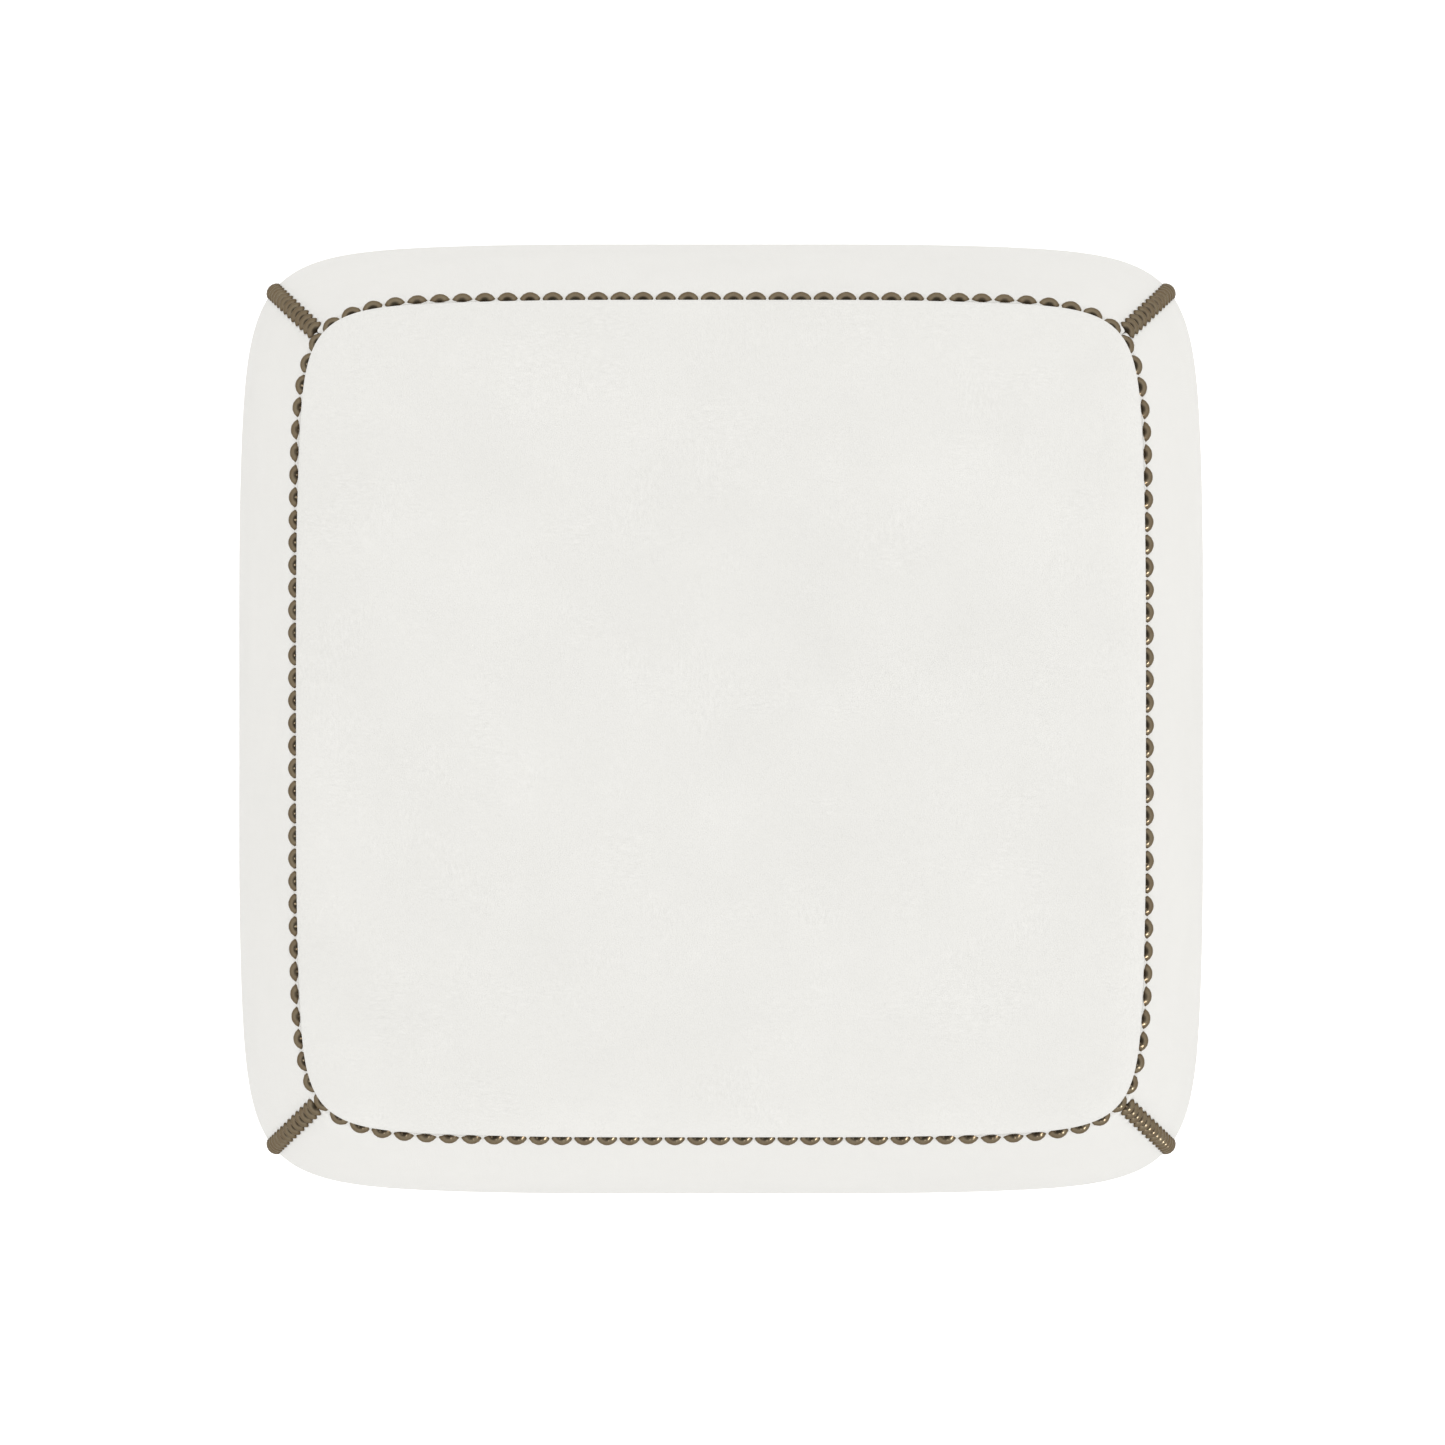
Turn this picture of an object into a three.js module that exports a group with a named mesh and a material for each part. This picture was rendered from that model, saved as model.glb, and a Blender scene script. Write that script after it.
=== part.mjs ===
// Square upholstered footstool with barrel sides: a crowned leather top panel, four bulging leather
// side covers, a row of domed nails round the crease under the top panel and a line of the same
// nails down each corner seam. Inside: two timber rings, curved ribs and corner posts, bent side
// boards, foam, woven webbing, a dust cloth and four glides.
// Millimetres, +Z up, origin on the floor under the middle, front towards -Y.

import * as THREE from 'three';

const degree = Math.PI / 180;
const quarterTurn = 90 * degree;
const clearance = 0.3;

// Overall form of the leather side surface
const crownHeight = 457;
const rowDrop = 30;
const widestDrop = 5.3;
const rowHalfX = 228.4;
const rowHalfY = 225.1;
const bulgeX = 52.2;
const bulgeY = 51.1;
const flattenShare = 0.354;
const rowExponent = 11.3;
const widestExponent = 9.1;
const rowDrawShare = 0.0131;
const widestDrawShare = 0.0116;
const drawExponent = 6.4;
const seamSwing = 0.88 * degree;
const seamGap = 1.5;

// Line of the nail row in the crease, and the shoulder of leather that it lies on
const nailLineInset = 1;
const nailLineExponent = 9.1;
const nailLineDrawShare = 0.0023;
const shoulderDrop = 3;
const creaseRise = 4.2;

// Top panel
const panelInset = 2.6;
const panelExponent = 11.3;
const panelDrawShare = 0.0116;
const panelEdgeRise = 7.5;
const panelTuck = 2.9;
const rollWidth = 25;
const rollRise = 14.5;

// Decorative nails
const nailPitch = 12;
const nailWidth = 11;
const nailRise = 3.2;
const nailLap = 0.5;
const firstNailShift = -3.6;
const cornerNailStart = 12.4;
const cornerNailEnd = 8;

// Thicknesses
const leather = 1.6;
const sideFoam = 12;
const sideBoard = 3;
const ringThickness = 18;
const ribThickness = 18;
const strapThickness = 1.5;
const dustCloth = 1;

// Frame
const ringWidth = 58.4;
const ribSpacing = 160;
const ribWidth = 50.4;
const blockLeg = 60;

// Webbing
const strapWidth = 50;
const strapSeat = 35;
const strapCount = 4;

// Underside
const glideHeight = 6;
const glideRadius = 20;
const glideChamfer = 1.5;
const glideInset = 40.4;
const coverReturn = 25;
const dustClothInset = 8;

// Fineness of the facets, and the steps that slopes are measured with
const columnShares = [0, 0.45, 0.72, 0.84, 0.91, 0.96, 1];
const postColumnShares = [0.91, 0.96];
const spanRows = 8;
const crownShare = 0.6;
const rollSteps = 4;
const glideSides = 12;
const domeShare = 0.62;
const slopeAngle = 0.1 * degree;
const slopeHeight = 0.2;
const walkSteps = 6000;

// Depths below the outer leather surface
const foamDepth = leather + clearance;
const boardDepth = foamDepth + sideFoam + clearance;
const frameDepth = boardDepth + sideBoard + clearance;
const ribDepth = frameDepth + clearance / 2;
const skirtDepth = leather + 2 * clearance;
const topRingDepth = skirtDepth + leather + 2 * clearance;
const baseRingDepth = leather + clearance;

// Heights, from the floor up
const dustClothBase = glideHeight + clearance;
const coverBase = dustClothBase + dustCloth + clearance;
const baseRingBase = coverBase + leather + clearance;
const baseRingTop = baseRingBase + ringThickness;
const rowHeight = crownHeight - rowDrop;
const widestHeight = (coverBase + rowHeight) / 2 - widestDrop;
const shoulderHeight = rowHeight - shoulderDrop;
const creaseHeight = rowHeight + creaseRise;
const panelEdgeHeight = rowHeight + panelEdgeRise;
const panelUnderside = panelEdgeHeight - panelTuck;
const rollTop = panelEdgeHeight + rollRise;
const topFoamBase = panelUnderside + leather + clearance;
const strapStack = 2 * strapThickness + clearance;
const topRingTop = topFoamBase - 2 * clearance - strapStack;
const topRingBase = topRingTop - ringThickness;
const spanBase = baseRingTop + clearance;
const spanTop = topRingBase - clearance;

// Plan sizes. The corner seams stand off the diagonal by the seam swing, towards the left and right.
const seamAngle = Math.atan2(rowHalfY, rowHalfX) - seamSwing;
const panelHalfX = rowHalfX - panelInset;
const panelHalfY = rowHalfY - panelInset;
const ringInnerX = rowHalfX - ringWidth;
const ringInnerY = ringInnerX * Math.tan(seamAngle);
const postReach = Math.hypot(ringInnerX, ringInnerY);
const glideX = rowHalfX - glideInset;
const glideY = rowHalfY - glideInset;
const strapSpacingX = (2 * ringInnerX) / strapCount;
const strapSpacingY = (2 * ringInnerY) / strapCount;

// Materials
const material = (name, color, roughness, metalness = 0) =>
  new THREE.MeshStandardMaterial({ name, color, roughness, metalness });
const leatherFinish = material('leather', 0xedece8, 0.55);
const nailFinish = material('nail_bronze', 0x6e6350, 0.42, 0.9);
const foamFinish = material('foam', 0xe9dfb4, 0.95);
const timberFinish = material('timber', 0xcaa877, 0.7);
const boardFinish = material('board', 0xb9935f, 0.75);
const webbingFinish = material('webbing', 0x8d7a5a, 0.9);
const dustClothFinish = material('dust_cloth', 0x26262a, 0.95);
const glideFinish = material('glide_plastic', 0x2b2a29, 0.5);

const footstool = new THREE.Group();

function addPiece(name, geometry, finish) {
  const piece = new THREE.Mesh(geometry, finish);
  piece.name = name;
  footstool.add(piece);
  return piece;
}

function solidOf(points, triangles) {
  const geometry = new THREE.BufferGeometry().setFromPoints(points);
  geometry.setIndex(triangles.flat());
  return geometry;
}

// Plan outlines are superellipses, |x / halfX|^exponent + |y / halfY|^exponent = 1, that bow a
// little more: their reach is drawn in towards the corners, by the draw share on the diagonals
function planPoint(section, angle) {
  const { halfX, halfY, exponent, drawShare } = section;
  const direction = new THREE.Vector2(Math.cos(angle), Math.sin(angle));
  const across = Math.abs(direction.x / halfX);
  const along = Math.abs(direction.y / halfY);
  const reach = (across ** exponent + along ** exponent) ** (-1 / exponent);
  const diagonalShare = (2 * across * along) / (across ** 2 + along ** 2);
  return direction.multiplyScalar(reach * (1 - drawShare * diagonalShare ** drawExponent));
}

// The side swells from the nail row down to the widest height, and back below it: a parabola that
// is flattened by the flatten share towards the row and the base
function sideSection(height) {
  const rise = (height - widestHeight) / (rowHeight - widestHeight);
  const swell = (1 - rise ** 2) * (1 - flattenShare * rise ** 2);
  return {
    halfX: rowHalfX + bulgeX * swell,
    halfY: rowHalfY + bulgeY * swell,
    exponent: rowExponent + (widestExponent - rowExponent) * swell,
    drawShare: rowDrawShare + (widestDrawShare - rowDrawShare) * swell,
  };
}

const nailLine = {
  halfX: rowHalfX - nailLineInset,
  halfY: rowHalfY - nailLineInset,
  exponent: nailLineExponent,
  drawShare: nailLineDrawShare,
};

// Outer leather surface of the sides: the barrel, then a straight shoulder through the nail line
function skin(angle, height) {
  const footHeight = Math.min(height, shoulderHeight);
  const foot = planPoint(sideSection(footHeight), angle);
  if (height > shoulderHeight) {
    foot.lerp(planPoint(nailLine, angle), (height - shoulderHeight) / shoulderDrop);
  }
  return new THREE.Vector3(foot.x, foot.y, height);
}

function skinNormal(angle, height) {
  const round = skin(angle + slopeAngle, height).sub(skin(angle - slopeAngle, height));
  const up = skin(angle, height + slopeHeight).sub(skin(angle, height - slopeHeight));
  return round.cross(up).normalize();
}

// Point at a level, a given depth below the outer leather along its true normal
function layerPoint(angle, level, depth) {
  const passes = 12;
  const easingShare = 0.8;
  let height = level;
  let point = skin(angle, height);
  for (let pass = 0; pass < passes; pass += 1) {
    point = skin(angle, height).addScaledVector(skinNormal(angle, height), -depth);
    height += (level - point.z) * easingShare;
  }
  return point.setZ(level);
}

// Signed turn from one direction to another, between minus and plus half a turn
function turnBetween(from, to) {
  return Math.atan2(Math.sin(to - from), Math.cos(to - from));
}

// The four sides, counterclockwise from the right, each between two corner seams. The ring and the
// ribs of a side end inwards at a straight line, ringInner and ribInner from the middle.
const sideward = { reach: seamAngle, ringInner: ringInnerX, ribInner: rowHalfX - ribWidth };
const endward = { reach: quarterTurn - seamAngle, ringInner: ringInnerY, ribInner: rowHalfY - ribWidth };
const sides = [
  { name: 'right', middle: 0, ...sideward },
  { name: 'back', middle: quarterTurn, ...endward },
  { name: 'left', middle: 2 * quarterTurn, ...sideward },
  { name: 'front', middle: 3 * quarterTurn, ...endward },
];
const corners = [
  { name: 'back_right', angle: seamAngle, x: 1, y: 1 },
  { name: 'back_left', angle: 2 * quarterTurn - seamAngle, x: -1, y: 1 },
  { name: 'front_left', angle: 2 * quarterTurn + seamAngle, x: -1, y: -1 },
  { name: 'front_right', angle: 4 * quarterTurn - seamAngle, x: 1, y: -1 },
];

const seamReach = planPoint(nailLine, seamAngle).length();

// Column angles of one side, stopping half a seam gap short of both seams
function sideColumns(side) {
  const halfGapAngle = seamGap / 2 / seamReach;
  const reached = columnShares.map((share) => Math.min(share * side.reach, side.reach - halfGapAngle));
  const before = reached.slice(1).reverse().map((angle) => side.middle - angle);
  return [...before, ...reached.map((angle) => side.middle + angle)];
}

// Column angles of the whole way round, with one column on each seam
const roundColumns = sides.flatMap((side) => {
  const after = columnShares.map((share) => side.middle + share * side.reach);
  const before = columnShares.slice(1, -1).reverse().map((share) => side.middle - share * side.reach);
  return [...before, ...after];
});

const evenLevels = (low, high, count) =>
  Array.from({ length: count + 1 }, (_, index) => low + (high - low) * (index / count));

// Closed slab between an outer and an inner grid of points, [column][row], columns running
// counterclockwise and rows running up
function slab(outer, inner) {
  const columns = outer.length;
  const rows = outer[0].length;
  const face = (column, row) => column * rows + row;
  const back = (column, row) => columns * rows + face(column, row);
  const top = rows - 1;
  const end = columns - 1;
  const triangles = [];
  const quad = (a, b, c, d) => triangles.push([a, b, c], [a, c, d]);
  for (let column = 0; column < end; column += 1) {
    const next = column + 1;
    for (let row = 0; row < top; row += 1) {
      quad(face(column, row), face(next, row), face(next, row + 1), face(column, row + 1));
      quad(back(column, row + 1), back(next, row + 1), back(next, row), back(column, row));
    }
    quad(face(next, 0), face(column, 0), back(column, 0), back(next, 0));
    quad(face(column, top), face(next, top), back(next, top), back(column, top));
  }
  for (let row = 0; row < top; row += 1) {
    quad(face(0, row), face(0, row + 1), back(0, row + 1), back(0, row));
    quad(face(end, row + 1), face(end, row), back(end, row), back(end, row + 1));
  }
  return solidOf([...outer.flat(), ...inner.flat()], triangles);
}

// Closed solid of rings, from a pole above, out and round, to a pole below
function ringSolid(topPole, rings, basePole) {
  const count = rings[0].length;
  const at = (ring, column) => 1 + ring * count + (column % count);
  const last = rings.length - 1;
  const baseIndex = 1 + rings.length * count;
  const triangles = [];
  for (let column = 0; column < count; column += 1) {
    triangles.push([0, at(0, column), at(0, column + 1)]);
    for (let ring = 0; ring < last; ring += 1) {
      triangles.push([at(ring, column), at(ring + 1, column), at(ring + 1, column + 1)]);
      triangles.push([at(ring, column), at(ring + 1, column + 1), at(ring, column + 1)]);
    }
    triangles.push([at(last, column + 1), at(last, column), baseIndex]);
  }
  return solidOf([topPole, ...rings.flat(), basePole], triangles);
}

const onAxis = (height) => new THREE.Vector3(0, 0, height);

function planRing(section, height) {
  return roundColumns.map((angle) => {
    const point = planPoint(section, angle);
    return new THREE.Vector3(point.x, point.y, height);
  });
}

const layerRing = (level, depth) => roundColumns.map((angle) => layerPoint(angle, level, depth));

// Top panel: crown, rolled edge and tuck, all at a depth below the outer leather
function crownRing(depth) {
  const section = {
    halfX: (panelHalfX - rollWidth) * crownShare,
    halfY: (panelHalfY - rollWidth) * crownShare,
    exponent: panelExponent * crownShare,
    drawShare: panelDrawShare * crownShare,
  };
  return planRing(section, rollTop + (crownHeight - rollTop) * (1 - crownShare ** 2) - depth);
}

function edgeRing(angle, depth) {
  const width = angle > 0 ? rollWidth : panelTuck;
  const rise = angle > 0 ? rollRise : panelTuck;
  const inset = width - (width - depth) * Math.cos(angle);
  const section = {
    halfX: panelHalfX - inset,
    halfY: panelHalfY - inset,
    exponent: panelExponent,
    drawShare: panelDrawShare,
  };
  return planRing(section, panelEdgeHeight + (rise - depth) * Math.sin(angle));
}

const edgeAngles = (high, low, steps) => evenLevels(high, low, steps).map((angle) => angle * degree);

function topCover() {
  const outer = [
    crownRing(0),
    ...edgeAngles(90, 0, rollSteps).map((angle) => edgeRing(angle, 0)),
    ...edgeAngles(-45, -90, 1).map((angle) => edgeRing(angle, 0)),
    layerRing(panelUnderside, skirtDepth),
    layerRing(shoulderHeight, skirtDepth),
    layerRing(topRingBase, skirtDepth),
  ];
  const inner = [
    layerRing(topRingBase, skirtDepth + leather),
    layerRing(shoulderHeight, skirtDepth + leather),
    layerRing(panelUnderside + leather, skirtDepth + leather),
    ...edgeAngles(-90, 0, 1).map((angle) => edgeRing(angle, leather)),
    ...edgeAngles(45, 90, 1).map((angle) => edgeRing(angle, leather)),
    crownRing(leather),
  ];
  return ringSolid(onAxis(crownHeight), [...outer, ...inner], onAxis(crownHeight - leather));
}

function topFoam() {
  const depth = leather + clearance;
  const rings = [
    crownRing(depth),
    ...edgeAngles(90, 0, 2).map((angle) => edgeRing(angle, depth)),
    edgeRing(-90 * degree, depth),
  ];
  return ringSolid(onAxis(crownHeight - depth), rings, onAxis(topFoamBase));
}

addPiece('top_cover', topCover(), leatherFinish);
addPiece('top_foam', topFoam(), foamFinish);

// Side layers: leather turned in under the base, foam, and a bent board
const spanLevels = evenLevels(spanBase, spanTop, spanRows);

const layerGrid = (angles, levels, depth) =>
  angles.map((angle) => levels.map((level) => layerPoint(angle, level, depth)));

// Upright inner face, at a reach from the axis that can change with the angle
const uprightGrid = (angles, levels, reach) =>
  angles.map((angle) => levels.map((level) =>
    new THREE.Vector3(reach(angle) * Math.cos(angle), reach(angle) * Math.sin(angle), level)));

function insetSection(height, inset) {
  const section = sideSection(height);
  return { ...section, halfX: section.halfX - inset, halfY: section.halfY - inset };
}

function turnInPoint(angle, height) {
  const point = planPoint(insetSection(height, coverReturn), angle);
  return new THREE.Vector3(point.x, point.y, height);
}

function sideCover(side) {
  const angles = sideColumns(side);
  const upperLevels = [...spanLevels, shoulderHeight, rowHeight, creaseHeight];
  const faceGrid = (base, depth) =>
    layerGrid(angles, [base, ...upperLevels], depth).map((column, index) => [
      turnInPoint(angles[index], base),
      ...column,
    ]);
  return slab(faceGrid(coverBase, 0), faceGrid(coverBase + leather, leather));
}

function sideLayer(side, depth, thickness) {
  const angles = sideColumns(side);
  return slab(layerGrid(angles, spanLevels, depth), layerGrid(angles, spanLevels, depth + thickness));
}

for (const side of sides) {
  addPiece(`side_cover_${side.name}`, sideCover(side), leatherFinish);
  addPiece(`side_foam_${side.name}`, sideLayer(side, foamDepth, sideFoam), foamFinish);
  addPiece(`side_board_${side.name}`, sideLayer(side, boardDepth, sideBoard), boardFinish);
}

// Timber rings at the base and under the top panel: four mitred rails each, with a shaped outer
// edge and a straight inner edge
function ringRail(side, levels, depth) {
  const angles = sideColumns(side);
  const innerReach = (angle) => side.ringInner / Math.cos(angle - side.middle);
  return slab(layerGrid(angles, levels, depth), uprightGrid(angles, levels, innerReach));
}

for (const side of sides) {
  const topLevels = [topRingBase, shoulderHeight, topRingTop];
  addPiece(`top_rail_${side.name}`, ringRail(side, topLevels, topRingDepth), timberFinish);
  const baseLevels = [baseRingBase, baseRingTop];
  addPiece(`base_rail_${side.name}`, ringRail(side, baseLevels, baseRingDepth), timberFinish);
}

// Corner posts, shaped behind the meeting of two side boards, on the last columns of both
function cornerPost(corner) {
  const turns = sides
    .map((side) => ({ side, turn: turnBetween(side.middle, corner.angle) }))
    .filter(({ turn }) => Math.abs(turn) < quarterTurn)
    .flatMap(({ side, turn }) =>
      postColumnShares.map((share) => (share - 1) * side.reach * Math.sign(turn)));
  const angles = [0, ...turns].sort((a, b) => a - b).map((turn) => corner.angle + turn);
  return slab(layerGrid(angles, spanLevels, frameDepth), uprightGrid(angles, spanLevels, () => postReach));
}

// Ribs: a plywood blank with a straight inner edge and the side's curve outside
function rib(side) {
  const outerEdge = spanLevels.map((level) => {
    const point = layerPoint(side.middle, level, ribDepth);
    return new THREE.Vector2(Math.hypot(point.x, point.y), level);
  });
  const outline = new THREE.Shape([
    new THREE.Vector2(side.ribInner, spanBase),
    ...outerEdge,
    new THREE.Vector2(side.ribInner, spanTop),
  ]);
  const geometry = new THREE.ExtrudeGeometry(outline, { depth: ribThickness, bevelEnabled: false });
  return geometry.rotateX(quarterTurn);
}

for (const side of sides) {
  for (const [hand, along] of [['a', -1], ['b', 1]]) {
    const shift = (along * ribSpacing + ribThickness) / 2;
    const piece = addPiece(`rib_${side.name}_${hand}`, rib(side), timberFinish);
    piece.rotation.z = side.middle;
    piece.position.set(-shift * Math.sin(side.middle), shift * Math.cos(side.middle), 0);
  }
}

// Glue blocks in the inner corners of the base ring
function glueBlock(corner) {
  const cornerX = corner.x * (ringInnerX - clearance);
  const cornerY = corner.y * (ringInnerY - clearance);
  const outline = new THREE.Shape([
    new THREE.Vector2(cornerX, cornerY),
    new THREE.Vector2(cornerX - corner.x * blockLeg, cornerY),
    new THREE.Vector2(cornerX, cornerY - corner.y * blockLeg),
  ]);
  return new THREE.ExtrudeGeometry(outline, { depth: ringThickness, bevelEnabled: false });
}

// Glides under the corners
function glide() {
  const profile = [
    new THREE.Vector2(0, 0),
    new THREE.Vector2(glideRadius - glideChamfer, 0),
    new THREE.Vector2(glideRadius, glideChamfer),
    new THREE.Vector2(glideRadius, glideHeight),
    new THREE.Vector2(0, glideHeight),
  ];
  return new THREE.LatheGeometry(profile, glideSides).rotateX(quarterTurn);
}

for (const corner of corners) {
  addPiece(`corner_post_${corner.name}`, cornerPost(corner), timberFinish);
  addPiece(`glue_block_${corner.name}`, glueBlock(corner), timberFinish).position.z = baseRingBase;
  const foot = addPiece(`glide_${corner.name}`, glide(), glideFinish);
  foot.position.set(corner.x * glideX, corner.y * glideY, 0);
}

// Webbing: straps woven over and under each other, their ends on the top ring
const strapPlace = (index, spacing) => (index - (strapCount - 1) / 2) * spacing;

function strap(ringInner, spacing, firstOver) {
  const length = 2 * (ringInner + strapSeat);
  const ride = (strapThickness + clearance) / 2;
  const path = [new THREE.Vector2(-length / 2, -ride)];
  for (let index = 0; index < strapCount; index += 1) {
    const middle = strapPlace(index, spacing);
    const level = (index % 2 === 0) === firstOver ? ride : -ride;
    path.push(new THREE.Vector2(middle - strapWidth / 2, level));
    path.push(new THREE.Vector2(middle + strapWidth / 2, level));
  }
  path.push(new THREE.Vector2(length / 2, -ride));
  const face = path.map((point) => new THREE.Vector2(point.x, point.y + strapThickness / 2));
  const back = path.map((point) => new THREE.Vector2(point.x, point.y - strapThickness / 2)).reverse();
  const outline = new THREE.Shape([...back, ...face]);
  const geometry = new THREE.ExtrudeGeometry(outline, { depth: strapWidth, bevelEnabled: false });
  return geometry.translate(0, 0, -strapWidth / 2).rotateX(quarterTurn);
}

const strapHeight = topRingTop + clearance + strapStack / 2;
for (let index = 0; index < strapCount; index += 1) {
  const even = index % 2 === 0;
  const across = strap(ringInnerX, strapSpacingX, even);
  const along = strap(ringInnerY, strapSpacingY, !even);
  addPiece(`webbing_x_${index + 1}`, across, webbingFinish)
    .position.set(0, strapPlace(index, strapSpacingY), strapHeight);
  addPiece(`webbing_y_${index + 1}`, along.rotateZ(quarterTurn), webbingFinish)
    .position.set(strapPlace(index, strapSpacingX), 0, strapHeight);
}

// Dust cloth over the turned-in leather
function dustSheet() {
  const section = insetSection(coverBase, dustClothInset);
  const top = dustClothBase + dustCloth;
  const rings = [planRing(section, top), planRing(section, dustClothBase)];
  return ringSolid(onAxis(top), rings, onAxis(dustClothBase));
}

addPiece('dust_cover', dustSheet(), dustClothFinish);

// Place between two neighbouring nail seats, where the tops of their rims meet
function midSeat(seat, nextSeat) {
  const reached = seat.place.clone().addScaledVector(seat.along, nailPitch / 2);
  const met = nextSeat.place.clone().addScaledVector(nextSeat.along, -nailPitch / 2);
  return {
    place: reached.lerp(met, 0.5),
    along: seat.along.clone().add(nextSeat.along).normalize(),
    out: seat.out.clone().add(nextSeat.out).normalize(),
  };
}

// Height of a domed head, part of a sphere, at a share of the way from its middle to its rim
function domeRise(share) {
  const halfWidth = nailWidth / 2;
  const sphereRadius = (halfWidth ** 2 + nailRise ** 2) / (2 * nailRise);
  return Math.sqrt(sphereRadius ** 2 - (share * halfWidth) ** 2) - sphereRadius + nailRise;
}

// Nail strip: eight-sided domed heads with four-sided tops, each lapped into the next at its rim.
// A seat has its place on the leather, the way along the strip and the way out.
function nailStrip(seats) {
  const halfWidth = nailWidth / 2;
  const halfLength = (nailPitch + nailLap) / 2;
  const tipLength = (nailPitch - clearance) / 2;
  const neckShare = nailLap / 2 / halfLength;
  const neckHalf = (neckShare * halfWidth * Math.sin(45 * degree)) / (1 - Math.cos(45 * degree));
  const points = [];
  const triangles = [];
  const addPoint = (seat, along, across, out) => {
    const point = seat.place.clone()
      .addScaledVector(seat.along, along)
      .addScaledVector(seat.out.clone().cross(seat.along), across)
      .addScaledVector(seat.out, clearance + out);
    return points.push(point) - 1;
  };
  const necks = seats.slice(1).map((seat, index) => {
    const neck = midSeat(seats[index], seat);
    return {
      left: addPoint(neck, 0, neckHalf, 0),
      crest: addPoint(neck, 0, 0, domeRise(1 - neckShare)),
      right: addPoint(neck, 0, -neckHalf, 0),
    };
  });
  seats.forEach((seat, index) => {
    const ring = (share, turns) => turns.map((turn) => {
      const along = share * halfLength * Math.cos(turn * degree);
      const across = share * halfWidth * Math.sin(turn * degree);
      return addPoint(seat, along, across, domeRise(share));
    });
    const end = (neck, length) => neck ?? { crest: addPoint(seat, length, 0, 0) };
    const known = (point) => point !== undefined;
    const ahead = end(necks[index], tipLength);
    const behind = end(necks[index - 1], -tipLength);
    const [right, left] = ring(1, [270, 90]);
    const [aheadLeft, behindLeft, behindRight, aheadRight] = ring(1, [45, 135, 225, 315]);
    const quarters = [
      [ahead.crest, ahead.left, aheadLeft, left],
      [left, behindLeft, behind.left, behind.crest],
      [behind.crest, behind.right, behindRight, right],
      [right, aheadRight, ahead.right, ahead.crest],
    ].map((quarter) => quarter.filter(known));
    const shoulders = ring(domeShare, [45, 135, 225, 315]);
    const apex = addPoint(seat, 0, 0, nailRise);
    quarters.forEach((quarter, turn) => {
      const shoulder = shoulders[turn];
      const nextShoulder = shoulders[(turn + 1) % shoulders.length];
      quarter.slice(1).forEach((point, step) => triangles.push([shoulder, quarter[step], point]));
      triangles.push([shoulder, quarter.at(-1), nextShoulder], [apex, shoulder, nextShoulder]);
    });
    const base = quarters
      .flatMap((quarter) => quarter.slice(1))
      .filter((point) => point !== necks[index]?.crest && point !== necks[index - 1]?.crest);
    for (let step = 1; step + 1 < base.length; step += 1) {
      triangles.push([base[0], base[step + 1], base[step]]);
    }
  });
  return solidOf(points, triangles);
}

// Even places along a path: the path's own parameter, from 0 to 1, at each distance
function placesAlong(path, distances) {
  const travelled = [0];
  let previous = path(0);
  for (let step = 1; step <= walkSteps; step += 1) {
    const next = path(step / walkSteps);
    travelled.push(travelled[step - 1] + next.distanceTo(previous));
    previous = next;
  }
  const total = travelled[walkSteps];
  const parameterAt = (distance) => {
    const step = travelled.findIndex((value) => value > distance);
    const share = (distance - travelled[step - 1]) / (travelled[step] - travelled[step - 1]);
    return (step - 1 + share) / walkSteps;
  };
  return distances(total).map(parameterAt);
}

// Nail seat on the leather, with the strip running from one nearby point of the leather to another
function seatOn(angle, height, from, to) {
  return { place: skin(angle, height), along: to.sub(from).normalize(), out: skinNormal(angle, height) };
}

// The row runs once round the crease, and each side takes the nails between its two seams
const fullTurn = 4 * quarterTurn;
const rowAngles = placesAlong(
  (share) => skin(share * fullTurn, rowHeight),
  (total) => {
    const count = Math.floor(total / nailPitch);
    return Array.from({ length: count }, (_, index) =>
      (firstNailShift + (index * total) / count + total) % total);
  },
).map((share) => share * fullTurn);

for (const side of sides) {
  const turns = rowAngles
    .map((angle) => turnBetween(side.middle, angle))
    .filter((turn) => Math.abs(turn) < side.reach)
    .sort((a, b) => a - b);
  const seats = turns.map((turn) => {
    const angle = side.middle + turn;
    const from = skin(angle - slopeAngle, rowHeight);
    const to = skin(angle + slopeAngle, rowHeight);
    return seatOn(angle, rowHeight, from, to);
  });
  addPiece(`nail_row_${side.name}`, nailStrip(seats), nailFinish);
}

// A line of nails runs down each corner seam from just under the row to just over the base
for (const corner of corners) {
  const heightAt = (share) => rowHeight + (coverBase - rowHeight) * share;
  const shares = placesAlong(
    (share) => skin(corner.angle, heightAt(share)),
    (total) => {
      const count = Math.floor((total - cornerNailStart - cornerNailEnd) / nailPitch) + 1;
      return Array.from({ length: count }, (_, index) => cornerNailStart + index * nailPitch);
    },
  );
  const seats = shares.map(heightAt).map((height) => {
    const from = skin(corner.angle, height + slopeHeight);
    const to = skin(corner.angle, height - slopeHeight);
    return seatOn(corner.angle, height, from, to);
  });
  addPiece(`corner_nails_${corner.name}`, nailStrip(seats), nailFinish);
}

export default footstool;
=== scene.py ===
"""Looks of a square upholstered footstool with barrel sides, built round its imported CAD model.

Lengths are in millimetres up to the moment that a mesh is made, which turns them into metres.
"""

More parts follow.
